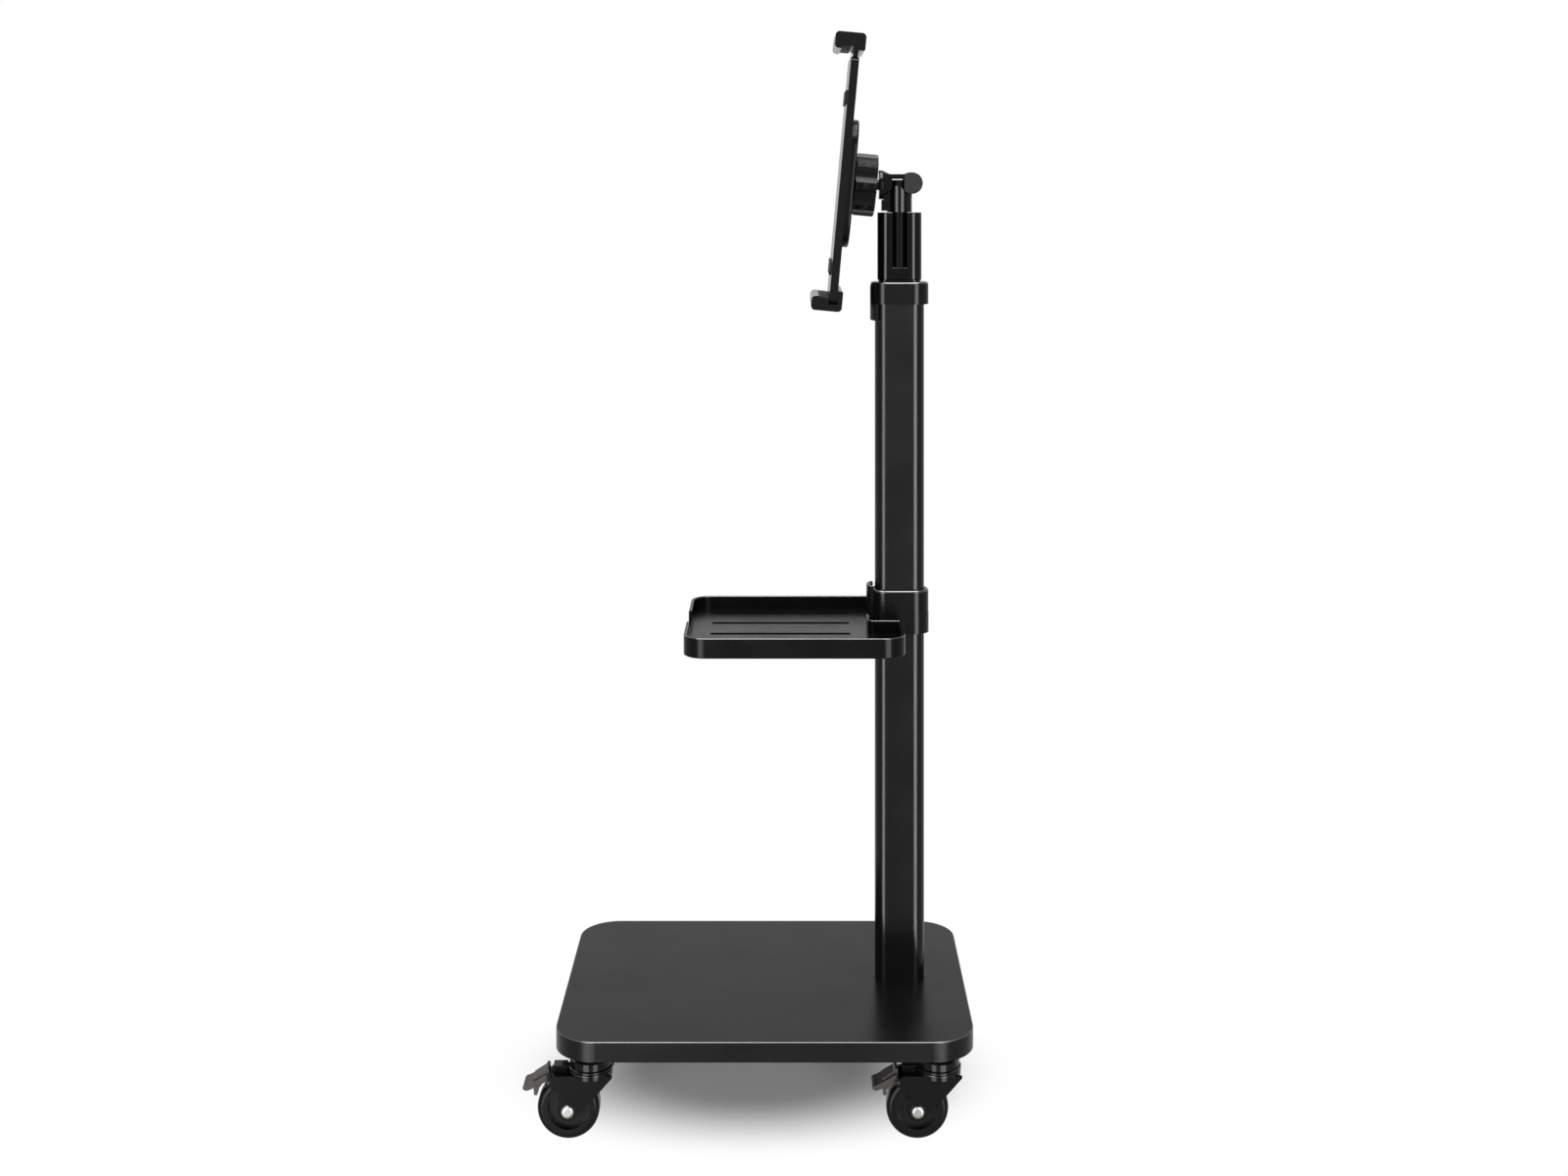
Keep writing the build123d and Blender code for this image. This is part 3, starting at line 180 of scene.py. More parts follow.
def wear_noise(tree, size_mm):
    """Broad soft patches, for handling marks."""
    place = add(tree, "ShaderNodeTexCoord")
    return add(
        tree,
        "ShaderNodeTexNoise",
        inputs={"Scale": MM_IN_A_METRE / size_mm, "Detail": 2.0},
        links={"Vector": (place, "Object")},
    )


def vary_roughness(tree, shader, noise_source, low, high):
    """Moves the roughness between low and high with a noise."""
    ranged = add(
        tree,
        "ShaderNodeMapRange",
        inputs={"From Min": NOISE_LOW, "From Max": NOISE_HIGH, "To Min": low, "To Max": high},
        links={"Value": (noise_source, "Fac")},
    )
    tree.links.new(ranged.outputs["Result"], shader.inputs["Roughness"])


print("a grain of 0.5 mm is a noise scale of", MM_IN_A_METRE / 0.5)

# %% Glossy rims
SIDE_ENDS = (0.15, 0.35)  # how far up the surface faces where a side turns into a rim
TOP_BEGINS = (0.93, 0.985)  # and where a rim turns into a level top


def glossy_rims(tree, shader, plain, rim):
    """More gloss where the surface turns from upright to level, as on a rounded upper edge."""
    surface = add(tree, "ShaderNodeNewGeometry")
    facing = add(tree, "ShaderNodeSeparateXYZ", links={"Vector": (surface, "Normal")})
    leaves_side = add(
        tree,
        "ShaderNodeMapRange",
        inputs={
            "From Min": SIDE_ENDS[0],
            "From Max": SIDE_ENDS[1],
            "To Min": 0.0,
            "To Max": 1.0,
        },
        links={"Value": (facing, "Z")},
    )
    leaves_top = add(
        tree,
        "ShaderNodeMapRange",
        inputs={
            "From Min": TOP_BEGINS[0],
            "From Max": TOP_BEGINS[1],
            "To Min": 1.0,
            "To Max": 0.0,
        },
        links={"Value": (facing, "Z")},
    )
    on_rim = add(
        tree,
        "ShaderNodeMath",
        {"operation": "MULTIPLY"},
        links={0: (leaves_side, "Result"), 1: (leaves_top, "Result")},
    )
    level = add(
        tree,
        "ShaderNodeMapRange",
        inputs={"To Min": plain, "To Max": rim},
        links={"Value": (on_rim, "Value")},
    )
    tree.links.new(level.outputs["Result"], shader.inputs["Specular IOR Level"])


print("rims face up by", SIDE_ENDS[0], "to", TOP_BEGINS[1])

# %% [markdown]
# ## Powder-coated steel
#
# The base plate, the column, the sliding tube and the casters' forks are taken as steel with a
# black powder coat. The powder melts into a skin with a very fine orange peel, which blurs
# reflections a little and breaks highlights into soft bands. It could be two layers, black under
# a clear coat, but a single Principled shader with a low colour shows the same with less work.
# The orange peel is a noise bump whose grains are half a millimetre to a millimetre.
#
# The specular level is set well below a real coat's, because the picture's reflections are
# darker than those of a white room. The rounded rims of some pieces keep a fuller level, so
# that the lamp above draws a thin line on them, as in the picture.

# %% Powder coats
# Powder coat on the base: a dark satin skin, with slightly uneven gloss from handling.
base_coat, shader, tree = finish(
    "powder_coat_base", "#101011", 0.3, IOR=1.5, Specular_IOR_Level=0.09
)
grain(tree, shader, 0.55, 0.01, 0.2)
glossy_rims(tree, shader, 0.09, 0.7)
vary_roughness(tree, shader, wear_noise(tree, 60), 0.27, 0.33)

# Powder coat on the column: smoother, so that the bands along its sides have clear edges.
column_coat, shader, tree = finish(
    "powder_coat_column", "#0a0a0b", 0.16, IOR=1.5, Specular_IOR_Level=0.13
)
grain(tree, shader, 0.6, 0.008, 0.12)
vary_roughness(tree, shader, wear_noise(tree, 45), 0.18, 0.22)

# Coat on the sliding tube and plate: smooth, with faint long marks along the travel.
tube_coat, shader, tree = finish(
    "smooth_coat_tube", "#0a0a0b", 0.13, IOR=1.5, Specular_IOR_Level=0.12
)
grain(tree, shader, 0.8, 0.006, 0.2, stretch=(1, 1, 0.1))

# Coat on the casters' metal: glossier, with a slightly coarser peel.
caster_coat, shader, tree = finish(
    "gloss_coat_caster", "#0c0c0d", 0.18, IOR=1.5, Specular_IOR_Level=0.12
)
grain(tree, shader, 0.9, 0.012, 0.2)
glossy_rims(tree, shader, 0.10, 0.6)
print("coats:", base_coat.name, column_coat.name, tube_coat.name, caster_coat.name)

# %% [markdown]
# ## Moulded plastics
#
# Collars, tray and holder are taken as injection-moulded ABS, and the small sliding pieces as
# nylon. Moulds are often spark-eroded, which leaves a fine even grain that scatters light. The
# head block and the elbow look polished in the picture and stay glossy. A grain could be carved
# into the mesh, but at under a millimetre a bump shows the same.

# %% Grained plastics
# Fine-grained ABS on the collars: a dull black face and a thin bright line on the rims.
collar_plastic, shader, tree = finish(
    "abs_fine_grain", "#0a0a0b", 0.2, IOR=1.52, Specular_IOR_Level=0.08
)
grain(tree, shader, 0.45, 0.02, 0.3)
glossy_rims(tree, shader, 0.08, 0.6)

# Grained ABS on the tray: a soft sheen on the floor, a little uneven from handling.
tray_plastic, shader, tree = finish(
    "abs_tray_grain", "#0b0b0c", 0.22, IOR=1.52, Specular_IOR_Level=0.06
)
grain(tree, shader, 0.5, 0.02, 0.3)
glossy_rims(tree, shader, 0.05, 0.6)
vary_roughness(tree, shader, wear_noise(tree, 35), 0.20, 0.27)

# Satin ABS on the holder and its nut: soft broad highlights.
holder_plastic, shader, tree = finish(
    "abs_holder_satin", "#0b0b0c", 0.22, IOR=1.52, Specular_IOR_Level=0.07
)
grain(tree, shader, 0.4, 0.015, 0.2)
print("grained:", collar_plastic.name, tray_plastic.name, holder_plastic.name)

# %% Polished and small plastics
# Polished ABS on the head: narrow bright reflections, bent a little by a shallow wave.
gloss_plastic, shader, tree = finish(
    "abs_polished", "#050506", 0.11, IOR=1.52, Specular_IOR_Level=0.1
)
grain(tree, shader, 4.0, 0.02, 0.12, detail=1.0)

# Mottled nylon on the pivot's caps: matt grey blotches about a millimetre across.
cap_plastic, shader, tree = finish(
    "nylon_mottled_cap", "#0d0d0e", 0.5, IOR=1.52, Specular_IOR_Level=0.12
)
mottle = grain(tree, shader, 1.1, 0.06, 0.6)
vary_roughness(tree, shader, mottle, 0.5, 0.75)

# Glide nylon inside the column and the ball joint: waxy and dull.
nylon, shader, tree = finish("nylon_glide", "#161617", 0.45, IOR=1.53, Specular_IOR_Level=0.2)
grain(tree, shader, 0.6, 0.01, 0.3)

# Hub nylon in the wheels: a dull black with a slight sheen.
hub_plastic, shader, tree = finish(
    "nylon_hub", "#101011", 0.28, IOR=1.53, Specular_IOR_Level=0.09
)
grain(tree, shader, 0.7, 0.02, 0.4)

# Brown-black nylon on the brake pedals: dull, with a coarse moulded skin.
pedal_plastic, shader, tree = finish(
    "pedal_nylon_brown", "#211c1a", 0.45, IOR=1.52, Specular_IOR_Level=0.25
)
grain(tree, shader, 0.9, 0.05, 0.6)
small_plastics = (gloss_plastic, cap_plastic, nylon, hub_plastic, pedal_plastic)
print("plastics:", [plastic.name for plastic in small_plastics])

# %% [markdown]
# ## Rubber, bare steel and cast iron
#
# The strips on the holder are taken as rubber and the tyres as polyurethane, which is smoother.
# Both are dielectrics, so they are made as the plastics are. Pins, screws, nuts and springs are
# taken as zinc-plated steel and the spindle as black steel. Bare metal has no colour under its
# gloss, so there the shader is set to metallic and its colour is the colour of the reflections.

# %% Rubber and metal
# Rubber on the holder's strips: matt, with a coarse skin.
rubber, shader, tree = finish("pad_rubber", "#0b0b0b", 0.6, IOR=1.52, Specular_IOR_Level=0.1)
grain(tree, shader, 0.5, 0.03, 0.6)

# Polyurethane on the wheels: a smooth dull tread.
tyre_rubber, shader, tree = finish(
    "tyre_polyurethane", "#0c0c0d", 0.3, IOR=1.52, Specular_IOR_Level=0.06
)
grain(tree, shader, 0.8, 0.02, 0.4)

# Zinc-plated steel: a soft grey mirror, with faint long marks.
bright_steel, shader, tree = finish("zinc_plated_steel", "#7d7c7a", 0.34, metallic=1.0)
grain(tree, shader, 0.5, 0.008, 0.3, stretch=(1, 1, 0.15))

# Black oxide on the spindle: a very dark mirror, with the same marks.
black_steel, shader, tree = finish("black_oxide_steel", "#060606", 0.35, metallic=1.0)
grain(tree, shader, 0.5, 0.006, 0.2, stretch=(1, 1, 0.15))

# Cast iron inside the base: rough and grey, hidden by the cover.
cast_iron, shader, tree = finish("cast_iron_weight", "#3a3937", 0.7, metallic=0.8)
grain(tree, shader, 1.6, 0.12, 0.7)
print("metals:", bright_steel.name, black_steel.name, cast_iron.name)

# %% [markdown]
# ## Dress the model's own pieces
#
# Each node of the model has one material slot. A material could be set piece by piece, but one
# table says at a glance which pieces share a finish, as they would on the real stand.

# %% Assign the finishes
CORNERS = ("front_left", "front_right", "back_left", "back_right")

finishes = {
    base_coat: ["base_cover", "bottom_panel"],
    column_coat: ["outer_column"],
    tube_coat: ["inner_tube", "jaw_slider"],
    caster_coat: ["caster_stems", *[f"caster_fork_{c}" for c in CORNERS]],
    collar_plastic: ["top_collar", "tray_collar", "release_tab", "tray_tab"],
    tray_plastic: ["tray"],
    holder_plastic: [
        "ball_socket",
        "lock_nut",
        "rear_boss",
        "holder_back",
        "holder_front",
        "lower_jaw",
        "upper_jaw",
    ],
    gloss_plastic: ["head_block", "stem_sleeve", "elbow_hood", "ball_stud"],
    cap_plastic: ["pivot_caps"],
    nylon: ["column_liner", "tube_glide", "column_foot", "ball_cup"],
    hub_plastic: [f"caster_hub_{c}" for c in CORNERS],
    rubber: ["lower_jaw_pad", "upper_jaw_pad", "back_pads"],
    tyre_rubber: [f"caster_tyre_{c}" for c in CORNERS],
    black_steel: ["swivel_spindle"],
    bright_steel: [
        "tilt_pin",
        "release_pin",
        "tray_pin",
        "column_screws",
        "boss_screws",
        "tray_screws",
        "caster_nuts",
        "holder_springs",
        *[f"caster_axle_{c}" for c in CORNERS],
    ],
    cast_iron: ["base_weight"],
    pedal_plastic: [f"brake_pedal_{c}" for c in CORNERS],
}
for material, names in finishes.items():
    for name in names:
        slots = nodes[name].data.materials
        slots.clear()
        slots.append(material)
print("dressed", sum(len(names) for names in finishes.values()), "of", len(nodes))

# %% [markdown]
# ## Grip ribs
#
# The rubber strips in the jaws get fine moulded ribs. On the lock nut the model already has four
# grooves in each gripping pad, and a thin rib in each groove makes that relief finer. Each is one
# rib set many times in a row or round a ring, so Geometry Nodes does it: one group lays ribs
# along X in a row, and one stands them round an axis. Placing them by hand would mean some forty
# alike pieces, to be moved one by one whenever a size changes.


# %% What both groups share
def group_with(name, sockets):
    """An empty Geometry Nodes group with named inputs, and its input and output nodes."""
    group = bpy.data.node_groups.new(name, "GeometryNodeTree")
    group.interface.new_socket("Geometry", in_out="OUTPUT", socket_type="NodeSocketGeometry")
    for label, kind in sockets:
        group.interface.new_socket(label, in_out="INPUT", socket_type=kind)
    return group, add(group, "NodeGroupInput"), add(group, "NodeGroupOutput")


def rib_rod(group, start):
    """One rib, standing upright: a rod of twelve sides, which looks round at this size."""
    return add(
        group,
        "GeometryNodeMeshCylinder",
        inputs={"Vertices": 12},
        links={"Radius": (start, "Radius"), "Depth": (start, "Length")},
    )


def close_group(group, geometry, start, end):
    """Realizes the instances, gives them their material and links them to the output."""
    real = add(group, "GeometryNodeRealizeInstances", links={"Geometry": geometry})
    painted = add(
        group,
        "GeometryNodeSetMaterial",
        links={"Geometry": (real, "Geometry"), "Material": (start, "Finish")},
    )
    group.links.new(painted.outputs["Geometry"], end.inputs["Geometry"])


print("group helpers ready")

# %% [markdown]
# ## A row of ribs
#
# A mesh line gives one point for each rib, one pitch apart along Y. The rod is laid down along X
# first, because an instance keeps the way that its shape points.

# %% A row of ribs
row_sockets = [
    ("Count", "NodeSocketInt"),
    ("Pitch", "NodeSocketFloat"),
    ("Radius", "NodeSocketFloat"),
    ("Length", "NodeSocketFloat"),
    ("Finish", "NodeSocketMaterial"),
]
rib_row, start, end = group_with("rib_row", row_sockets)
rod = rib_rod(rib_row, start)
lying = add(
    rib_row,
    "GeometryNodeTransform",
    inputs={"Rotation": (0.0, math.radians(90), 0.0)},
    links={"Geometry": (rod, "Mesh")},
)
step = add(rib_row, "ShaderNodeCombineXYZ", links={"Y": (start, "Pitch")})
line = add(
    rib_row,
    "GeometryNodeMeshLine",
    links={"Count": (start, "Count"), "Offset": (step, "Vector")},
)
row = add(
    rib_row,
    "GeometryNodeInstanceOnPoints",
    links={"Points": (line, "Mesh"), "Instance": (lying, "Geometry")},
)
close_group(rib_row, (row, "Instances"), start, end)
print("group", rib_row.name, "with", len(rib_row.nodes), "nodes")

# %% [markdown]
# ## Ribs round a ring
#
# Here each point works out its own angle from its number. The number divided by the ribs on a
# pad, rounded down, is the pad, and what is left over is the place in that pad. Two rings nested
# by instances would do it too, but one list of points needs only sums.

# %% Which pad, and which place in it
ring_sockets = [
    ("Pads", "NodeSocketInt"),
    ("Ribs", "NodeSocketInt"),
    ("Spread", "NodeSocketFloat"),
    ("Ring", "NodeSocketFloat"),
    ("Radius", "NodeSocketFloat"),
    ("Length", "NodeSocketFloat"),
    ("Finish", "NodeSocketMaterial"),
]
rib_ring, start, end = group_with("rib_ring", ring_sockets)
rod = rib_rod(rib_ring, start)
all_ribs = add(
    rib_ring,
    "ShaderNodeMath",
    {"operation": "MULTIPLY"},
    links={0: (start, "Pads"), 1: (start, "Ribs")},
)
line = add(rib_ring, "GeometryNodeMeshLine", links={"Count": (all_ribs, "Value")})
number = add(rib_ring, "GeometryNodeInputIndex")
pad = add(
    rib_ring,
    "ShaderNodeMath",
    {"operation": "DIVIDE"},
    links={0: (number, "Index"), 1: (start, "Ribs")},
)
pad_number = add(rib_ring, "ShaderNodeMath", {"operation": "FLOOR"}, links={0: (pad, "Value")})
place_in_pad = add(
    rib_ring,
    "ShaderNodeMath",
    {"operation": "MODULO"},
    links={0: (number, "Index"), 1: (start, "Ribs")},
)
print("group", rib_ring.name, "numbers its ribs")

# %% The angle of each rib
turn = add(
    rib_ring, "ShaderNodeMath", {"operation": "DIVIDE"}, {0: math.tau}, {1: (start, "Pads")}
)
pad_angle = add(
    rib_ring,
    "ShaderNodeMath",
    {"operation": "MULTIPLY"},
    links={0: (pad_number, "Value"), 1: (turn, "Value")},
)
last = add(rib_ring, "ShaderNodeMath", {"operation": "SUBTRACT"}, {1: 1.0}, {0: (start, "Ribs")})
share = add(
    rib_ring,
    "ShaderNodeMath",
    {"operation": "DIVIDE"},
    links={0: (place_in_pad, "Value"), 1: (last, "Value")},
)
centred = add(
    rib_ring, "ShaderNodeMath", {"operation": "SUBTRACT"}, {1: 0.5}, {0: (share, "Value")}
)
swing = add(
    rib_ring,
    "ShaderNodeMath",
    {"operation": "MULTIPLY"},
    links={0: (centred, "Value"), 1: (start, "Spread")},
)
angle = add(
    rib_ring,
    "ShaderNodeMath",
    {"operation": "ADD"},
    links={0: (pad_angle, "Value"), 1: (swing, "Value")},
)
print("group", rib_ring.name, "turns its ribs")

# %% Set the ribs on the ring
across = add(rib_ring, "ShaderNodeMath", {"operation": "COSINE"}, links={0: (angle, "Value")})
up = add(rib_ring, "ShaderNodeMath", {"operation": "SINE"}, links={0: (angle, "Value")})
direction = add(
    rib_ring, "ShaderNodeCombineXYZ", links={"X": (across, "Value"), "Y": (up, "Value")}
)
spot = add(
    rib_ring,
    "ShaderNodeVectorMath",
    {"operation": "SCALE"},
    links={"Vector": (direction, "Vector"), "Scale": (start, "Ring")},
)
placed = add(
    rib_ring,
    "GeometryNodeSetPosition",
    links={"Geometry": (line, "Mesh"), "Position": (spot, "Vector")},
)
ring = add(
    rib_ring,
    "GeometryNodeInstanceOnPoints",
    links={"Points": (placed, "Geometry"), "Instance": (rod, "Mesh")},
)
close_group(rib_ring, (ring, "Instances"), start, end)
print("group", rib_ring.name, "with", len(rib_ring.nodes), "nodes")

# %% [markdown]
# ## From a group to a plain mesh
#
# A group lives in a modifier, and a modifier on a moving piece would be worked out again at each
# pose. So the group is run once on an empty object, and its result becomes an ordinary mesh,
# moved to its place. The long sides of each rib are shaded smooth and its round ends stay flat.


# %% Bake a group into a plain mesh
def baked(name, group, values, matrix):
    """An object at the origin with the group's mesh, moved by the matrix."""
    holder = bpy.data.objects.new(name + "_maker", bpy.data.meshes.new(name + "_maker"))
    bpy.context.scene.collection.objects.link(holder)
    modifier = holder.modifiers.new(name, "NODES")
    modifier.node_group = group
    for item in group.interface.items_tree:
        if item.in_out == "INPUT":
            modifier[item.identifier] = values[item.name]
    graph = bpy.context.evaluated_depsgraph_get()
    mesh = bpy.data.meshes.new_from_object(holder.evaluated_get(graph))
    bpy.data.objects.remove(holder)
    mesh.name = name
    mesh.transform(matrix)
    for polygon in mesh.polygons:
        polygon.use_smooth = len(polygon.vertices) == 4
    piece = bpy.data.objects.new(name, mesh)
    bpy.context.scene.collection.objects.link(piece)
    return piece


print("bake helper ready")

# %% [markdown]
# ## Ribs on the jaws' rubber
#
# Fine ribs keep a smooth edge from sliding out of a jaw. The strips lie in the tilted holder, so
# their place isn't typed in: it is read from the strip's own largest flat side, and the ribs
# follow the strip if the holder changes. Each rib is half sunk, so half a rod stands proud.

# %% Ribs on the jaws' rubber
SIDEWAYS = Vector((1, 0, 0))
FACES_HINT = 0.8  # a face within about 37 degrees of the hint
SAME_WAY = 0.999  # normals that point one way
SAME_LEVEL = 5e-5  # faces in one plane, to 0.05 mm


def flat_face(node, hint):
    """The largest flat side of a node toward a hint: its centre, its axes and its extents."""
    mesh = nodes[node].data
    faces = [f for f in mesh.polygons if f.normal.dot(hint) > FACES_HINT]
    normal = max(faces, key=lambda f: f.area).normal.copy()
    level = max(faces, key=lambda f: f.area).center.dot(normal)
    picked = [
        f
        for f in faces
        if f.normal.dot(normal) > SAME_WAY and abs(f.center.dot(normal) - level) < SAME_LEVEL
    ]
    along = normal.cross(SIDEWAYS).normalized()
    corners = [mesh.vertices[i].co for f in picked for i in f.vertices]
    spans = [
        (min(c.dot(a) for c in corners), max(c.dot(a) for c in corners))
        for a in (SIDEWAYS, along)
    ]
    middle = SIDEWAYS * sum(spans[0]) / 2 + along * sum(spans[1]) / 2 + normal * level
    axes = Matrix((SIDEWAYS, along, normal)).transposed().to_4x4()
    extents = [span[1] - span[0] for span in spans]
    return Matrix.Translation(middle) @ axes, extents[0], extents[1]


pad_rib_radius = 0.0004
pad_rib_pitch = 0.0016
pad_rib_margin = 0.003  # left bare at the strip's two ends together
for node, hint in (("lower_jaw_pad", Vector((0, 0, 1))), ("upper_jaw_pad", Vector((0, 0, -1)))):
    face, wide, deep = flat_face(node, hint)
    count = max(2, int((deep - pad_rib_pitch) / pad_rib_pitch))
    shift = Matrix.Translation((0, -pad_rib_pitch * (count - 1) / 2, 0))
    values = {
        "Count": count,
        "Pitch": pad_rib_pitch,
        "Radius": pad_rib_radius,
        "Length": wide - pad_rib_margin,
        "Finish": rubber,
    }
    ribs = baked(node + "_ribs", rib_row, values, face @ shift)
    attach(ribs, body_of(nodes[node])[0])
    print(ribs.name, count, "ribs on", in_mm([(wide, deep)])[0], "mm")

# %% [markdown]
# ## Ribs on the lock nut
#
# The nut leans with the holder, so its axis is read from the spread of its vertices: two ways
# across a round thing spread alike, and the third is the axis. Where the pads stand shows in the
# vertices at the largest radius. The ribs lie in the pads' grooves, with their crests 0.05 mm
# inside that radius. They are set 3 degrees apart and the grooves 3.4, so the two outer ribs of
# a pad merge with a wall of their groove. Reading each groove's own place would centre them, but
# the difference is too small to show at the picture's scale.


# %% The lock nut's own axis
def axis_frame(node):
    """A frame on a round node's own axis, from the spread of its vertices, and its reach."""
    points = np.array([v.co for v in nodes[node].data.vertices])
    middle = (points.min(0) + points.max(0)) / 2
    spread, ways = np.linalg.eigh(np.cov((points - middle).T))
    gaps = [abs(spread[1] - spread[2]), abs(spread[0] - spread[2]), abs(spread[0] - spread[1])]
    axis = Vector(ways[:, int(np.argmin(gaps))])
    if axis.y > 0:  # it should point to the user
        axis = -axis
    upward = axis.cross(SIDEWAYS).normalized()
    axes = Matrix((SIDEWAYS, upward, axis)).transposed()
    local = (points - middle) @ np.array(axes)
    low, high = local.min(0), local.max(0)
    origin = Vector(middle) + axes @ Vector((low + high) / 2)
    from_axis = local[:, :2] - (low[:2] + high[:2]) / 2
    radii = np.hypot(from_axis[:, 0], from_axis[:, 1])
    return Matrix.Translation(origin) @ axes.to_4x4(), radii, from_axis, high[2] - low[2]


nut_frame, radii, from_axis, nut_length = axis_frame("lock_nut")
outer = radii.max()
print("nut's radius and length:", in_mm([(outer, nut_length)])[0], "mm")

# %% Ribs on the lock nut's pads
nut_pads = 8
ribs_on_a_pad = 4
pad_spread = math.radians(9)
nut_rib_radius = 0.0003
nut_rib_sink = 0.00035  # from the nut's largest radius to a rib's middle
nut_rib_margin = 0.006  # left bare at the nut's two ends together
RIM_BAND = 2e-4  # vertices this close to the largest radius lie on a pad

at_rim = from_axis[radii > outer - RIM_BAND]
rim_angles = np.arctan2(at_rim[:, 1], at_rim[:, 0])
phase = float(np.angle(np.mean(np.exp(1j * rim_angles * nut_pads)))) / nut_pads
values = {
    "Pads": nut_pads,
    "Ribs": ribs_on_a_pad,
    "Spread": pad_spread,
    "Ring": float(outer) - nut_rib_sink,
    "Radius": nut_rib_radius,
    "Length": float(nut_length) - nut_rib_margin,
    "Finish": holder_plastic,
}
nut_place = nut_frame @ Matrix.Rotation(phase, 4, "Z")
nut_ribs = baked("lock_nut_ribs", rib_ring, values, nut_place)
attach(nut_ribs, body_of(nodes["lock_nut"])[0])
print(nut_ribs.name, nut_pads * ribs_on_a_pad, "ribs, phase", round(math.degrees(phase), 1))

# %% [markdown]
# ## Floor
#
# The picture is a catalogue shot of a black thing on white. The floor is a pale sheet. Under the
# stand it is plain diffuse, so it takes the shadow, and from there it fades into a white glow, so
# that no horizon shows. Stronger lamps would whiten the floor too, but wash out the stand.
#
# The glow grows on an oval, because the picture's shadow ends sooner toward the camera than to
# the sides. A Mapping node stretches the place before its length is taken. The oval's middle lies
# 30 mm behind the stand's, and the glow is full at 0.16 m across and 0.24 m along.

# %% Floor
floor_mesh = bpy.data.meshes.new("floor")
reach = 9.0
floor_mesh.from_pydata(
    [(-reach, -reach, 0), (reach, -reach, 0), (reach, reach, 0), (-reach, reach, 0)],
    [],
    [(0, 1, 2, 3)],
)
floor = bpy.data.objects.new("floor", floor_mesh)
bpy.context.scene.collection.objects.link(floor)

# Studio paper: matt and almost white, with no gloss of its own.
floor_paper, shader, tree = finish("floor_paper", "#fbfbfb", 0.9, Specular_IOR_Level=0.0)
oval_stretch = (2.2, 1.5, 1.0)
oval_shift = (0.066, 0.0, 0.0)
glow_begins, glow_full = 0.12, 0.36
place = add(tree, "ShaderNodeTexCoord")
oval = add(
    tree,
    "ShaderNodeMapping",
    inputs={"Location": oval_shift, "Scale": oval_stretch},
    links={"Vector": (place, "Object")},
)
distance = add(
    tree, "ShaderNodeVectorMath", {"operation": "LENGTH"}, links={"Vector": (oval, "Vector")}
)
far = add(
    tree,
    "ShaderNodeMapRange",
    {"interpolation_type": "SMOOTHSTEP"},
    {"From Min": glow_begins, "From Max": glow_full},
    {"Value": (distance, "Value")},
)
glow = add(tree, "ShaderNodeEmission", inputs={"Color": (1, 1, 1, 1), "Strength": 1.0})
paper = add(
    tree,
    "ShaderNodeMixShader",
    links={"Fac": (far, "Result"), 1: (shader, "BSDF"), 2: (glow, "Emission")},
)
tree.links.new(paper.outputs["Shader"], tree.nodes["Material Output"].inputs["Surface"])
floor_mesh.materials.append(floor_paper)
floor.visible_glossy = False
print("floor of", 2 * reach, "m")

# %% [markdown]
# ## World
#
# The world shows plain white to the camera and to the reflections in gloss and metal, and gives
# everything else a softer light, so that black stays black. Light Path tells these rays apart. A
# white backdrop behind the stand would do as well, but it would show an edge in some views.

# %% World
WHITE = 1.0
SOFT = 0.25

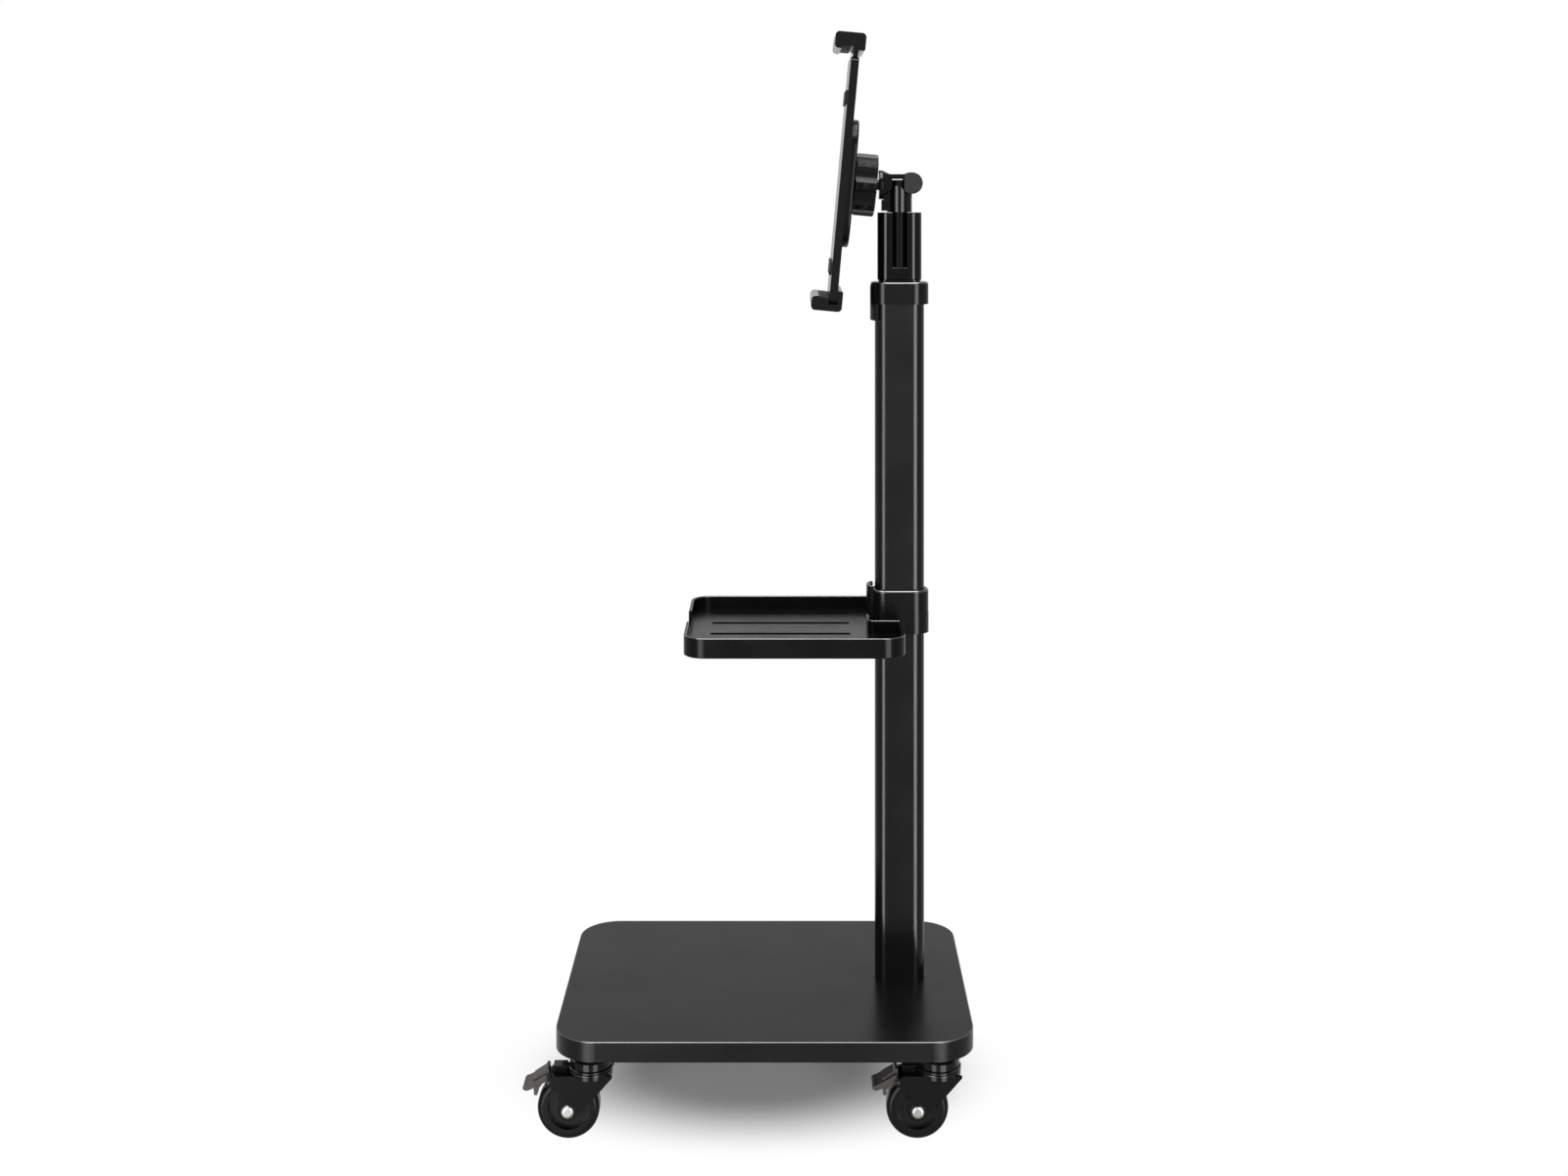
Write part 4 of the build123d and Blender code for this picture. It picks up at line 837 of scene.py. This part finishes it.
world = bpy.data.worlds.new("studio")
bpy.context.scene.world = world
world.use_nodes = True
tree = world.node_tree
tree.nodes.clear()
rays = add(tree, "ShaderNodeLightPath")
mirror = add(
    tree,
    "ShaderNodeMath",
    {"operation": "MAXIMUM"},
    links={0: (rays, "Is Glossy Ray"), 1: (rays, "Is Transmission Ray")},
)
seen = add(
    tree,
    "ShaderNodeMath",
    {"operation": "MAXIMUM"},
    links={0: (rays, "Is Camera Ray"), 1: (mirror, "Value")},
)
soft = add(tree, "ShaderNodeBackground", inputs={"Color": (1, 1, 1, 1), "Strength": SOFT})
white = add(tree, "ShaderNodeBackground", inputs={"Color": (1, 1, 1, 1), "Strength": WHITE})
mix = add(
    tree,
    "ShaderNodeMixShader",
    links={"Fac": (seen, "Value"), 1: (soft, "Background"), 2: (white, "Background")},
)
add(tree, "ShaderNodeOutputWorld", links={"Surface": (mix, "Shader")})
print("world: white", WHITE, "where it is seen and", SOFT, "as light")

# %% [markdown]
# ## Lamps
#
# A big bank in front reaches under the plate, and one overhead lights the top. Two tall strips
# beside the camera draw the bright bands along the column's rounded edges, and one lamp above
# draws the thin line on each rounded upper edge. These three are seen only in gloss, so they add
# nothing to the plain light. The strips reach below the floor, which gloss looks through, so
# that the bands run down to the column's foot.


# %% Lamps
def softbox(name, place, target, width, height, watts):
    """A rectangular lamp that points at a target and isn't seen itself."""
    data = bpy.data.lights.new(name, "AREA")
    data.shape = "RECTANGLE"
    data.size = width
    data.size_y = height
    data.energy = watts
    lamp = bpy.data.objects.new(name, data)
    lamp.location = place
    lamp.rotation_euler = (Vector(target) - Vector(place)).to_track_quat("-Z", "Y").to_euler()
    lamp.visible_camera = False
    bpy.context.scene.collection.objects.link(lamp)
    return lamp


overhead = softbox("overhead", (0.2, 0.0, 2.6), (0, 0, 0), width=2.0, height=2.0, watts=40)
front = softbox("front_bank", (2.3, 0.0, 0.45), (0, 0, 0), width=2.8, height=0.8, watts=50)
for bank in (overhead, front):
    bank.visible_glossy = False

left = softbox("left_strip", (3.0, -1.42, 0.1), (0, 0.075, 0.1), width=1.35, height=3.2, watts=260)
right = softbox("right_strip", (3.0, 1.5, 0.1), (0, 0.075, 0.1), width=1.35, height=3.2, watts=300)
sheen = softbox("top_sheen", (0.3, 0.0, 2.6), (0.1, 0, 0), width=1.9, height=1.9, watts=220)
for lamp in (left, right, sheen):
    lamp.visible_diffuse = False

# %% [markdown]
# ## View settings
#
# Blender's default view softens bright tones, as film does. The plain sRGB view leaves colours
# as they are written, so that white stays white and black stays black.

# %% View settings
bpy.context.scene.view_settings.view_transform = "Standard"
print("view:", bpy.context.scene.view_settings.view_transform)
